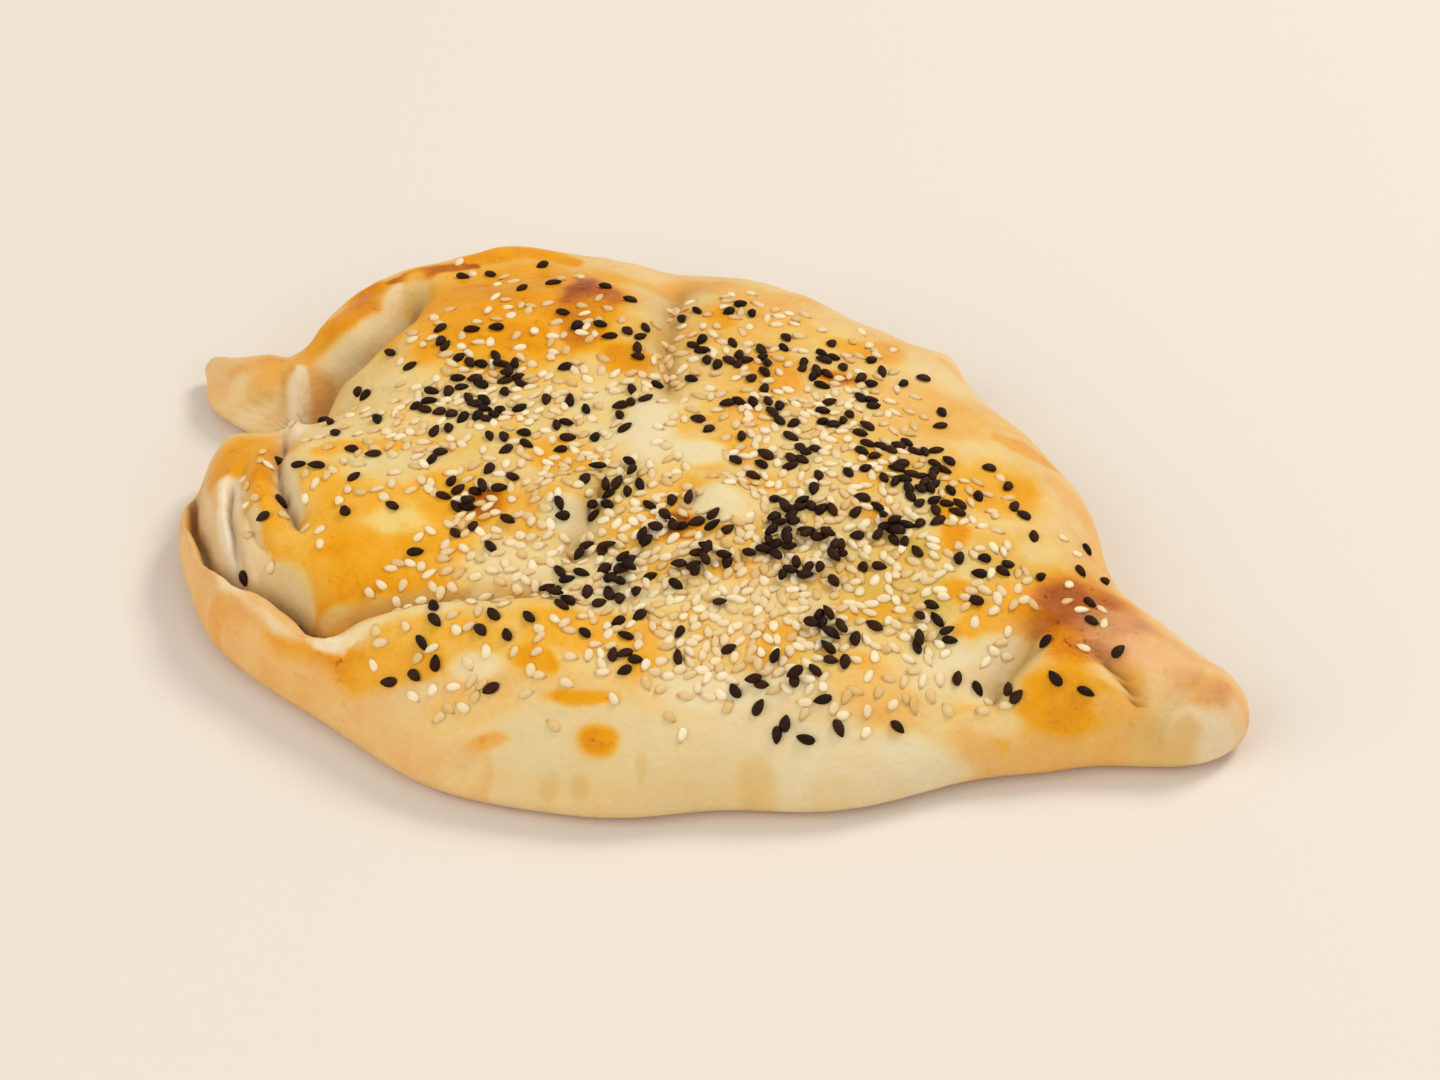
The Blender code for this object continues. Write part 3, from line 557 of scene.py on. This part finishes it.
def smooth_line(points):
    """A Catmull-Rom curve through the points."""
    points = np.array(points, float)
    ends = np.vstack([2 * points[0] - points[1], points, 2 * points[-1] - points[-2]])
    travel = np.linspace(0, len(points) - 1, LINE_STEPS + 1)
    piece = np.minimum(travel.astype(int), len(points) - 2)
    t = (travel - piece)[:, None]
    a, b, c, d = (ends[piece + n] for n in range(4))
    return 0.5 * (2 * b + (c - a) * t + (2 * a - 5 * b + 4 * c - d) * t**2 + (3 * b - 3 * c + d - a) * t**3)


def beside_line(x, y, line):
    """Distance from the line, positive on its left, and the share of its length that has been travelled."""
    nearest = np.full(np.shape(x), np.inf)
    side = np.ones(np.shape(x))
    travelled = np.zeros(np.shape(x))
    for n, (start, end) in enumerate(zip(line[:-1], line[1:])):
        run = end - start
        along = np.clip(((x - start[0]) * run[0] + (y - start[1]) * run[1]) / (run @ run), 0, 1)
        off_x = x - start[0] - along * run[0]
        off_y = y - start[1] - along * run[1]
        distance = np.hypot(off_x, off_y)
        closer = distance < nearest
        nearest = np.where(closer, distance, nearest)
        side = np.where(closer, np.sign(run[0] * off_y - run[1] * off_x), side)
        travelled = np.where(closer, (n + along) / (len(line) - 1), travelled)
    return nearest * side, travelled


def fold_height(x, y, fold):
    """A crease with a swollen bank on each side, fading out at both ends, and how deep in the crease a point is."""
    places, depth, left, right = fold
    offset, travelled = beside_line(x, y, smooth_line(places))
    distance = np.sqrt(offset**2 + CREASE_ROUNDING**2) - CREASE_ROUNDING
    width, swell, run = (np.where(offset > 0, a, b) for a, b in zip(left, right))
    fade = smooth_step(travelled / FADE) * smooth_step((1 - travelled) / FADE)
    dip = np.exp(-distance / width) * fade
    rise = swell * (distance / run) * np.exp(1 - distance / run) * fade
    return rise - depth * dip, dip * min(depth / DEEP_CREASE, 1)


def radii_away(x, y, place, radii):
    """Distance from a patch's middle, counted in its radii, which lie at PLAN_TURN to the axes."""
    off_x, off_y = x - place[0], y - place[1]
    across = off_x * math.cos(PLAN_TURN) + off_y * math.sin(PLAN_TURN)
    along = off_y * math.cos(PLAN_TURN) - off_x * math.sin(PLAN_TURN)
    return np.hypot(across / radii[0], along / radii[1])


def in_patch(x, y, places, size):
    """How much a point belongs to a patch or a line of CRUST: 1 inside, easing to 0. A line slims to its ends."""
    if np.ndim(size):
        distance = radii_away(x, y, places, size)
    else:
        offset, travelled = beside_line(x, y, smooth_line(places))
        slimming = END_WIDTH + (1 - END_WIDTH) * smooth_step(np.minimum(travelled, 1 - travelled) / END_RUN)
        distance = np.abs(offset) / (size * slimming)
    return smooth_step((PATCH_REACH - distance) / PATCH_EASE)


def top_of_dough(x, y, dough):
    """Height of the upper side, and how deep in a crease each point is.

    A quarter-round edge rises to the shoulder height, a crown rises over the inset, and folds,
    swellings, long waves and small random hills are added, all fading to nothing at the edge.
    """
    inset = inset_of(x, y)
    edge_width, edge_height = edge_at(np.arctan2(y, x))
    shoulder = EVEN_SHOULDER + (edge_height - EVEN_SHOULDER) * np.exp(-((inset / SHOULDER_RUN) ** 2))
    rounded = round_over(inset / edge_width)
    crown = (dough.crown / MM - shoulder) * (1 - np.exp(-((inset / CROWN_RUN) ** CROWN_EASE)))
    relief = np.zeros(np.shape(x))
    crease = np.zeros(np.shape(x))
    waver_x, waver_y = (v + FOLD_WAVER * rough_hills(x, y, kind) for v, kind in ((x, "folds_x"), (y, "folds_y")))
    for fold in FOLDS.values():
        height, depth = fold_height(waver_x, waver_y, fold)
        relief = relief + height
        crease = np.maximum(crease, depth)
    for place, radii, height in SWELLINGS.values():
        spread = ((x - place[0]) / radii[0]) ** 2 + ((y - place[1]) / radii[1]) ** 2
        relief = relief + height * np.exp(-spread)
    for wavelength, travel, phase, height in WAVES:
        ahead = x * math.cos(math.radians(travel)) + y * math.sin(math.radians(travel))
        relief = relief + height * np.sin(2 * math.pi * (ahead / wavelength + phase))
    uneven = rough_hills(x, y, "dough") + SMALL_HEIGHT * hills(x, y, *SMALL_HILLS)
    relief = relief + dough.unevenness / MM * uneven
    return SIDE_HEIGHT + (shoulder - SIDE_HEIGHT + crown + relief) * rounded, crease * rounded


def closed_skin(count, around):
    """Faces that join rings of points, each a closed loop, with one pole point before and one after them."""
    ring = np.arange(count - 1)[:, None] * around
    step = np.arange(around)[None, :]
    after = (step + 1) % around
    quads = np.stack([ring + step, ring + around + step, ring + around + after, ring + after], -1).reshape(-1, 4)
    first, last = count * around, count * around + 1
    step, after, end = step.ravel(), after.ravel(), (count - 1) * around
    start_fan = np.stack([np.full(around, first), step, after], 1)
    end_fan = np.stack([np.full(around, last), end + after, end + step], 1)
    return quads, np.vstack([start_fan, end_fan])


def mesh_piece(name, points, quads, triangles, values, material):
    """One smooth mesh object from whole arrays of points, faces and point values."""
    mesh = bpy.data.meshes.new(name)
    mesh.vertices.add(len(points))
    mesh.vertices.foreach_set("co", (points * MM).astype(np.float32).ravel())
    mesh.loops.add(quads.size + triangles.size)
    mesh.loops.foreach_set("vertex_index", np.concatenate([quads.ravel(), triangles.ravel()]).astype(np.int32))
    sizes = np.concatenate([np.full(len(quads), 4), np.full(len(triangles), 3)]).astype(np.int32)
    mesh.polygons.add(len(sizes))
    mesh.polygons.foreach_set("loop_start", (np.cumsum(sizes) - sizes).astype(np.int32))
    mesh.polygons.foreach_set("loop_total", sizes)
    mesh.polygons.foreach_set("use_smooth", np.ones(len(sizes), bool))
    mesh.update(calc_edges=True)
    for value_name, value in values.items():
        layer = mesh.attributes.new(value_name, "FLOAT", "POINT")
        layer.data.foreach_set("value", np.asarray(value, np.float32))
    mesh.materials.append(material)
    piece = bpy.data.objects.new(name, mesh)
    bpy.context.scene.collection.objects.link(piece)
    return piece


def dough_points(dough):
    """Rings of points over the top, round the edge and back under the bread, then its two poles."""
    outward = 1 - (1 - np.linspace(0, 1, dough.rings + 1)[1:]) ** TOP_CROWDING
    under = 1 - np.linspace(0, 1, dough.rings_under + 2)[1:-1] ** UNDER_CROWDING
    bearing = np.linspace(0, 2 * math.pi, dough.bearings, endpoint=False)
    reach = oval_reach(bearing)
    x = np.concatenate([outward, under])[:, None] * (reach * np.cos(bearing))
    y = np.concatenate([outward, under])[:, None] * (reach * np.sin(bearing))
    top, crease = top_of_dough(x[: dough.rings], y[: dough.rings], dough)
    # The outline's straight sides cut its bends short, so the last rings are kept from rising again
    top[-RIM_RINGS:] = np.minimum.accumulate(top[-RIM_RINGS:], axis=0)
    foot = SIDE_HEIGHT * (1 - round_over(inset_of(x[dough.rings :], y[dough.rings :]) / FOOT_WIDTH))
    middle, _ = top_of_dough(np.zeros(1), np.zeros(1), dough)
    points = np.stack([x, y, np.concatenate([top, foot])], -1).reshape(-1, 3)
    poles = np.array([[0, 0, middle[0]], [0, 0, 0]])
    return np.vstack([points, poles]), np.concatenate([crease.ravel(), np.zeros(foot.size + 2)])


def blotched(shares, height):
    """The first share evenly, and the second by the height of random hills."""
    return shares[0] + shares[1] * height


def baking_values(points, crease):
    """Point values for the crust: how brown it baked, its egg glaze, how floury and how oily it is.

    Bare dough, glazed a little further in, is painted over with the patches and lines of CRUST. Their
    plan is warped by random hills, small ones less than large ones, so none keeps an even outline. The
    floury value also carries painted highlights, and the oily value carries olive painted shade.
    """
    x, y, z = points.T
    warp_x, warp_y = (WARP * rough_hills(x, y, kind) for kind in ("warp_x", "warp_y"))
    glazed = smooth_step((inset_of(x, y) - GLAZE_FROM) / GLAZE_OVER)
    blotch = rough_hills(x, y, "blotches")
    look = np.stack([
        BARE_BROWN + glazed * blotched(GLAZED_BROWN, blotch),
        glazed * blotched(GLAZE_THICKNESS, blotch),
        0 * x,
        glazed * blotched(OILINESS, rough_hills(x, y, "oil_and_shade")),
    ])
    for places, size, brown, shine, cover, *rest in CRUST:
        loose = min(1, WARP_SHARE * np.min(size))
        share = cover / 100 * in_patch(x + warp_x * loose, y + warp_y * loose, places, size)
        aim = np.array([brown, shine, *rest, 0, 0][:4])[:, None] / 100
        look = look + (aim - look) * share
    bake, glaze, flour_and_highlight, oil_and_shade = look
    bake = bake + MOTTLE * rough_hills(x, y, "broad_mottle") + MOTTLE * rough_hills(x, y, "fine_mottle")
    under = z < UNDERSIDE
    bake = np.where(under, blotched(UNDERSIDE_BROWN, rough_hills(x, y, "underside")), bake)
    upper = {"glaze": glaze * (1 - CREASE_MATTING * crease), "flour_and_highlight": flour_and_highlight, "oil_and_shade": oil_and_shade}
    upper = {name: np.clip(np.where(under, 0, value), 0, 1) for name, value in upper.items()}
    return {"bake": np.clip(bake, 0, 1), **upper, "crease": crease}


def seed_form(waist, tip, corners, flatness):
    """A drop of unit length, width and thickness, and how far along it each of its points lies.

    Its rings' radius rises fast from the blunt end and falls slowly to the tip. The cross-section has
    soft corners, and the belly is flattened from below.
    """
    v = (np.arange(SEED_RINGS) + 0.5) / SEED_RINGS
    u = np.linspace(0, 2 * math.pi, SEED_SIDES, endpoint=False)
    radius = v**waist * (1 - v) ** tip
    radius = 0.5 * radius / radius.max()
    section = 1 + CORNER_RELIEF * np.cos(corners * u) if corners else np.ones(SEED_SIDES)
    y = radius[:, None] * section * np.cos(u)
    z = radius[:, None] * section * np.sin(u)
    z = np.where(z < 0, z * flatness, z)
    x = np.broadcast_to((v - 0.5)[:, None], y.shape)
    points = np.stack([x, y, z], -1).reshape(-1, 3)
    return np.vstack([points, [[-0.5, 0, 0], [0.5, 0, 0]]]), np.concatenate([np.repeat(v, SEED_SIDES), [0, 1]])


def seed_spots(patches, gap, draw, taken):
    """Where seeds lie: drawn evenly over each patch, off the bare blisters, and piled where a patch is full.

    Returns the plan place of each and how many seeds it lies on.
    """
    spots = []
    for place, radii, count in patches:
        full = len(spots) + count
        tries = 0
        while len(spots) < full and tries < count * TRIES:
            tries += 1
            distance, turn = PATCH_SPREAD * math.sqrt(draw.random()), draw.random() * 2 * math.pi
            if distance > 1 and draw.random() > STRAY_SHARE:
                continue
            a, b = radii[0] * distance * math.cos(turn), radii[1] * distance * math.sin(turn)
            x = place[0] + a * math.cos(PLAN_TURN) - b * math.sin(PLAN_TURN)
            y = place[1] + a * math.sin(PLAN_TURN) + b * math.cos(PLAN_TURN)
            reach = oval_reach(np.array([math.atan2(y, x)]))[0]
            bald = any(radii_away(x, y, *patch) < 1 for patch in BALD_PATCHES.values())
            if bald or math.hypot(x, y) > reach - RIM_MARGIN:
                continue
            beside = [seed for seed in taken if abs(seed[0] - x) < gap and abs(seed[1] - y) < gap]
            near = [(math.hypot(seed[0] - x, seed[1] - y), seed[2]) for seed in beside]
            near = [seed for seed in near if seed[0] < gap]
            if near and (tries < count * TRIES_ALONE or min(near)[0] < LEAST_GAP):
                continue
            level = min(1 + max((under for _, under in near), default=-1), TOP_LEVEL)
            taken.append((x, y, level))
            spots.append((x, y, level))
    return np.array(spots)


def scatter(form, size, spots, spread, sunk, draw, dough):
    """Seeds laid on the dough: each copy of the form is scaled, turned, tilted to the dough's slope and set down."""
    shape, tip = form
    x, y, level = spots.T
    count = len(spots)
    top, _ = top_of_dough(x, y, dough)
    slope_x, slope_y = (
        (top_of_dough(x + a, y + b, dough)[0] - top_of_dough(x - a, y - b, dough)[0]) / (2 * SLOPE_STEP)
        for a, b in ((SLOPE_STEP, 0), (0, SLOPE_STEP)))
    tilt = draw.normal(0, TILT + PILED_TILT * (level > 0)[:, None], (count, 2))
    up = np.stack([tilt[:, 0] - slope_x, tilt[:, 1] - slope_y, np.ones(count)], 1)
    up /= np.linalg.norm(up, axis=1, keepdims=True)
    turn = draw.uniform(0, 2 * math.pi, count)
    ahead = np.stack([np.cos(turn), np.sin(turn), np.zeros(count)], 1)
    ahead -= (ahead * up).sum(1, keepdims=True) * up
    ahead /= np.linalg.norm(ahead, axis=1, keepdims=True)
    aside = np.cross(up, ahead)
    sizes = np.array(size) / MM * (1 + spread * draw.uniform(-1, 1, (count, 3)))
    rise = sizes[:, 2:] * (0.5 - sunk) + (level * PILE_STEP * size[2] / MM)[:, None]
    middle = np.stack([x, y, top], 1) + up * rise
    axes = np.stack([ahead, aside, up], 1) * sizes[:, :, None]
    points = np.einsum("pk,nkc->npc", shape, axes) + middle[:, None, :]
    return points.reshape(-1, 3), {"tone": np.repeat(draw.random(count), len(shape)), "tip": np.tile(tip, count)}


def repeat_faces(faces, count, points_each):
    """The same faces for every copy, each counted on from the last copy's points."""
    return (faces[None] + np.arange(count)[:, None, None] * points_each).reshape(-1, faces.shape[1])


def socket(tree, kind, inputs, out=0, stops=(), **settings):
    """Adds a shader node with its settings, sets or links its inputs, and returns one of its outputs."""
    made = tree.nodes.new("ShaderNode" + kind)
    for name, value in settings.items():
        setattr(made, name, value)
    for name, value in inputs.items():
        if isinstance(value, bpy.types.NodeSocket):
            tree.links.new(value, made.inputs[name])
        else:
            made.inputs[name].default_value = value
    for n, (place, colour) in enumerate(stops):
        element = made.color_ramp.elements[n] if n < 2 else made.color_ramp.elements.new(place)
        element.position = place
        element.color = (*linear(colour), 1)
    return made.outputs[out] if made.outputs else made


def blank_material(name):
    """A new material without nodes, and its tree."""
    material = bpy.data.materials.new(name)
    material.use_nodes = True
    material.node_tree.nodes.clear()
    return material, material.node_tree


def baked_crust():
    """Wheat dough, egg-washed and baked: matt cream where bare, golden to brown with a thin shine where glazed."""
    material, tree = blank_material("egg_glazed_wheat_crust")
    place = socket(tree, "TexCoord", {}, "Object")
    bake, glaze, flour_and_highlight, oil_and_shade, crease = (
        socket(tree, "Attribute", {}, "Fac", attribute_name=name)
        for name in ("bake", "glaze", "flour_and_highlight", "oil_and_shade", "crease"))
    broad, fine, grain, pimples, powder = (  # noise by its size in millimetres
        socket(tree, "TexNoise", {"Vector": place, "Scale": 1000 / size, "Detail": detail, "Roughness": 0.55}, "Fac")
        for size, detail in ((4.5, 3), (1.5, 3), (0.7, 2), (2.4, 2), (1.8, 4)))
    # Browning: blotches 4 mm across, grain, and specks where bubbles under the glaze have caught
    browned = socket(tree, "Math", {0: broad, 1: 0.22, 2: bake}, operation="MULTIPLY_ADD")
    browned = socket(tree, "Math", {0: grain, 1: 0.13, 2: browned}, operation="MULTIPLY_ADD")
    specks = socket(tree, "MapRange", {"Value": fine, "From Min": 0.62, "From Max": 0.74, "To Max": 0.3})
    browned = socket(tree, "Math", {0: specks, 1: bake, 2: browned}, operation="MULTIPLY_ADD")
    browned = socket(tree, "Math", {0: browned, 1: 0.175}, operation="SUBTRACT", use_clamp=True)
    bare, glazed = (socket(tree, "ValToRGB", {"Fac": browned}, stops=stops) for stops in (BARE_TONES, GLAZED_TONES))
    thick = socket(tree, "Math", {0: glaze, 1: 1.25}, operation="MULTIPLY", use_clamp=True)
    colour = socket(tree, "Mix", {0: thick, 6: bare, 7: glazed}, 2, data_type="RGBA")
    # Oil from the filling makes thin places olive yellow, and the same olive is laid as painted shade in
    # creases, slits and hollows. Floury white lies in the folds and on the knob in powdery patches 2 mm
    # across, and is also a painted highlight on lit ridges and slopes. The creases are darkened with
    # painted shade
    olive_oil_and_shade = socket(tree, "Math", {0: oil_and_shade, 1: 0.72}, operation="MULTIPLY")
    white_flour_and_highlight = socket(tree, "Math", {0: powder, 1: 1.1, 2: 0.2}, operation="MULTIPLY_ADD")
    white_flour_and_highlight = socket(tree, "Math", {0: white_flour_and_highlight, 1: flour_and_highlight}, operation="MULTIPLY", use_clamp=True)
    painted_crease_shade = socket(tree, "Math", {0: crease, 1: 0.5}, operation="MULTIPLY")
    for share, tint, blend in ((olive_oil_and_shade, "#C6A540", "MIX"), (white_flour_and_highlight, "#FAF0E0", "MIX"), (painted_crease_shade, "#B08848", "MULTIPLY")):
        colour = socket(tree, "Mix", {0: share, 6: colour, 7: (*linear(tint), 1)}, 2, data_type="RGBA",
                        blend_type=blend)
    rough = socket(tree, "Math", {0: glaze, 1: -0.24, 2: 0.58}, operation="MULTIPLY_ADD")
    rough = socket(tree, "Math", {0: fine, 1: 0.16, 2: rough}, operation="MULTIPLY_ADD")
    # Skin: soft pimples 2.4 mm apart, pits of 1.5 mm and a fine grain
    skin = socket(tree, "Bump", {"Height": pimples, "Strength": 1.0, "Distance": 0.00034})
    skin = socket(tree, "Bump", {"Height": fine, "Strength": 1.0, "Distance": 0.00016, "Normal": skin})
    skin = socket(tree, "Bump", {"Height": grain, "Strength": 1.0, "Distance": 0.00006, "Normal": skin})
    surface = socket(tree, "BsdfPrincipled", {
        "Base Color": colour, "Roughness": rough, "Normal": skin, "IOR": 1.45, "Specular IOR Level": 0.14,
        "Coat Weight": 0.05, "Coat Roughness": 0.22, "Subsurface Weight": 0.12,
        "Subsurface Radius": (1.0, 0.5, 0.25), "Subsurface Scale": 0.002})
    socket(tree, "OutputMaterial", {"Surface": surface})
    return material


def seed_coat(name, dark, light, end, roughness, shine):
    """A seed's dry, finely pitted hull: each seed has its own tone, and its pointed end another."""
    material, tree = blank_material(name)
    place = socket(tree, "TexCoord", {}, "Object")
    tone, tip = (socket(tree, "Attribute", {}, "Fac", attribute_name=name) for name in ("tone", "tip"))
    colour = socket(tree, "ValToRGB", {"Fac": tone}, stops=((0, dark), (1, light)))
    near_tip = socket(tree, "MapRange", {"Value": tip, "From Min": 0.7, "From Max": 1.0})
    colour = socket(tree, "Mix", {0: near_tip, 6: colour, 7: (*linear(end), 1)}, 2, data_type="RGBA")
    # Pits 0.35 mm apart
    pits = socket(tree, "TexNoise", {"Vector": place, "Scale": 1000 / 0.35, "Detail": 2.0}, "Fac")
    skin = socket(tree, "Bump", {"Height": pits, "Strength": 1.0, "Distance": 0.00006})
    surface = socket(tree, "BsdfPrincipled", {
        "Base Color": colour, "Roughness": roughness, "Specular IOR Level": shine, "Normal": skin})
    socket(tree, "OutputMaterial", {"Surface": surface})
    return material


class FatayerDough(bpy.types.PropertyGroup):
    """Sizes of the dough."""

    crown: FloatProperty(name="Crown", description="Height of the middle of the bread", default=0.0232,
                         min=0.015, max=0.04, unit="LENGTH")
    unevenness: FloatProperty(name="Unevenness", description="Height of the small hills in the dough",
                              default=0.0004, min=0.0, max=0.002, unit="LENGTH")
    bearings: IntProperty(name="Bearings", description="Points round the bread", default=640, min=64, max=1000)
    rings: IntProperty(name="Rings", description="Rings of points over the top", default=138, min=20, max=300)
    rings_under: IntProperty(name="Rings under", description="Rings of points under the bread", default=12,
                             min=4, max=60)


class FatayerSeeds(bpy.types.PropertyGroup):
    """Sizes of the seeds."""

    nigella: FloatVectorProperty(name="Nigella", description="Length, width and thickness of a nigella seed",
                                 default=(0.0027, 0.00155, 0.00125), unit="LENGTH")
    sesame: FloatVectorProperty(name="Sesame", description="Length, width and thickness of a sesame seed",
                                default=(0.0025, 0.0014, 0.0008), unit="LENGTH")
    draw: IntProperty(name="Draw", description="Which random draw the seeds' places come from", default=15)


class FatayerStage(bpy.types.PropertyGroup):
    """Camera, floor and light."""

    azimuth: FloatProperty(name="Azimuth", description="Camera's bearing round the bread", default=PLAN_TURN,
                           subtype="ANGLE")
    elevation: FloatProperty(name="Elevation", description="Camera's height angle", default=math.radians(40.54),
                             subtype="ANGLE")
    roll: FloatProperty(name="Roll", description="Camera's roll", default=math.radians(1.22), subtype="ANGLE")
    distance: FloatProperty(name="Distance", description="Camera to the place it looks at", default=0.5531,
                            unit="LENGTH")
    lens: FloatProperty(name="Lens", description="Focal length in millimetres on a 36 mm sensor", default=85.0)
    floor: FloatVectorProperty(name="Floor", description="Colour of the floor", default=linear("#E6DED4"),
                               subtype="COLOR")


class FATAYER_OT_bread(bpy.types.Operator):
    """Make the baked dough"""

    bl_idname = "fatayer.bread"
    bl_label = "Bread"

    def execute(self, context):
        dough = context.scene.fatayer_dough
        points, crease = dough_points(dough)
        faces = closed_skin(dough.rings + dough.rings_under, dough.bearings)
        bread = mesh_piece("bread", points, *faces, baking_values(points, crease), baked_crust())
        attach(bread, "root")
        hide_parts("fatayer")
        return {"FINISHED"}


class FATAYER_OT_seeds(bpy.types.Operator):
    """Scatter the sesame and nigella seeds"""

    bl_idname = "fatayer.seeds"
    bl_label = "Seeds"

    def execute(self, context):
        dough, seeds = context.scene.fatayer_dough, context.scene.fatayer_seeds
        draw = np.random.default_rng(seeds.draw)
        taken = []
        for name, size in (("sesame_seeds", seeds.sesame), ("nigella_seeds", seeds.nigella)):
            kind = SEED_KINDS[name]
            form = seed_form(*kind["form"])
            spots = seed_spots(kind["patches"], kind["gap"], draw, taken)
            points, values = scatter(form, size, spots, kind["spread"], kind["sunk"], draw, dough)
            faces = [repeat_faces(part, len(spots), len(form[0])) for part in closed_skin(SEED_RINGS, SEED_SIDES)]
            piece = mesh_piece(name, points, *faces, values, seed_coat(*kind["coat"]))
            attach(piece, "root")
        return {"FINISHED"}


class FATAYER_OT_stage(bpy.types.Operator):
    """Set up the floor, the lights and the camera"""

    bl_idname = "fatayer.stage"
    bl_label = "Stage"

    def execute(self, context):
        scene = context.scene
        stage = scene.fatayer_stage
        corners = np.array([[-1, -1, 0], [1, -1, 0], [1, 1, 0], [-1, 1, 0]]) * FLOOR_REACH
        # Uncoated paper, which has no gloss and shows soft shadows alone
        material, tree = blank_material("matt_paper_sweep")
        surface = socket(tree, "BsdfPrincipled", {"Base Color": (*stage.floor, 1), "Roughness": 0.9})
        socket(tree, "OutputMaterial", {"Surface": surface})
        floor = mesh_piece("floor", corners, np.array([[0, 1, 2, 3]]), np.empty((0, 3), int), {}, material)
        add_camera(stage)
        for name, (place, size, power, colour) in LAMPS.items():
            light = bpy.data.lights.new(name, "AREA")
            light.shape, light.size, light.energy, light.color = "DISK", size, power, linear(colour)
            lamp = bpy.data.objects.new(name, light)
            lamp.location = place
            lamp.rotation_euler = (-Vector(place)).to_track_quat("-Z", "Y").to_euler()
            scene.collection.objects.link(lamp)
        world = bpy.data.worlds.new("soft_room")
        world.use_nodes = True
        background = world.node_tree.nodes["Background"]
        colour, strength = ROOM_LIGHT
        background.inputs["Color"].default_value = (*linear(colour), 1)
        background.inputs["Strength"].default_value = strength
        scene.world = world
        scene.view_settings.view_transform = "Standard"
        return {"FINISHED"}


def add_camera(stage):
    """A camera that looks at the middle of the bread from its azimuth and elevation, with a slight roll."""
    a, e = stage.azimuth, stage.elevation
    back = Vector((math.sin(a) * math.cos(e), -math.cos(a) * math.cos(e), math.sin(e)))
    camera_data = bpy.data.cameras.new("camera")
    camera_data.lens = stage.lens
    camera_data.sensor_width = 36
    camera_data.clip_start = 0.01
    camera = bpy.data.objects.new("camera", camera_data)
    camera.location = Vector(CAMERA_AIM) * MM + back * stage.distance
    camera.rotation_mode = "QUATERNION"
    camera.rotation_quaternion = (-back).to_track_quat("-Z", "Y") @ Quaternion((0, 0, 1), stage.roll)
    bpy.context.scene.collection.objects.link(camera)
    bpy.context.scene.camera = camera


class FATAYER_PT_panel(bpy.types.Panel):
    """Lists the fatayer's pieces and their sizes"""

    bl_idname = "FATAYER_PT_panel"
    bl_label = "Fatayer"
    bl_space_type = "VIEW_3D"
    bl_region_type = "UI"
    bl_category = "Fatayer"

    def draw(self, context):
        for group in GROUPS:
            values = getattr(context.scene, group)
            box = self.layout.box()
            for name in values.__annotations__:
                box.prop(values, name)
        for step in STEPS:
            self.layout.operator(step.bl_idname)


STEPS = (FATAYER_OT_bread, FATAYER_OT_seeds, FATAYER_OT_stage)
GROUPS = {"fatayer_dough": FatayerDough, "fatayer_seeds": FatayerSeeds, "fatayer_stage": FatayerStage}


def register():
    for group in GROUPS.values():
        bpy.utils.register_class(group)
    for name, group in GROUPS.items():
        setattr(bpy.types.Scene, name, PointerProperty(type=group))
    for kind in (*STEPS, FATAYER_PT_panel):
        bpy.utils.register_class(kind)


def unregister():
    for kind in (FATAYER_PT_panel, *reversed(STEPS)):
        bpy.utils.unregister_class(kind)
    for name, group in reversed(GROUPS.items()):
        delattr(bpy.types.Scene, name)
        bpy.utils.unregister_class(group)


def main():
    register()
    bpy.ops.fatayer.bread()
    bpy.ops.fatayer.seeds()
    bpy.ops.fatayer.stage()


if __name__ == "__main__":
    main()
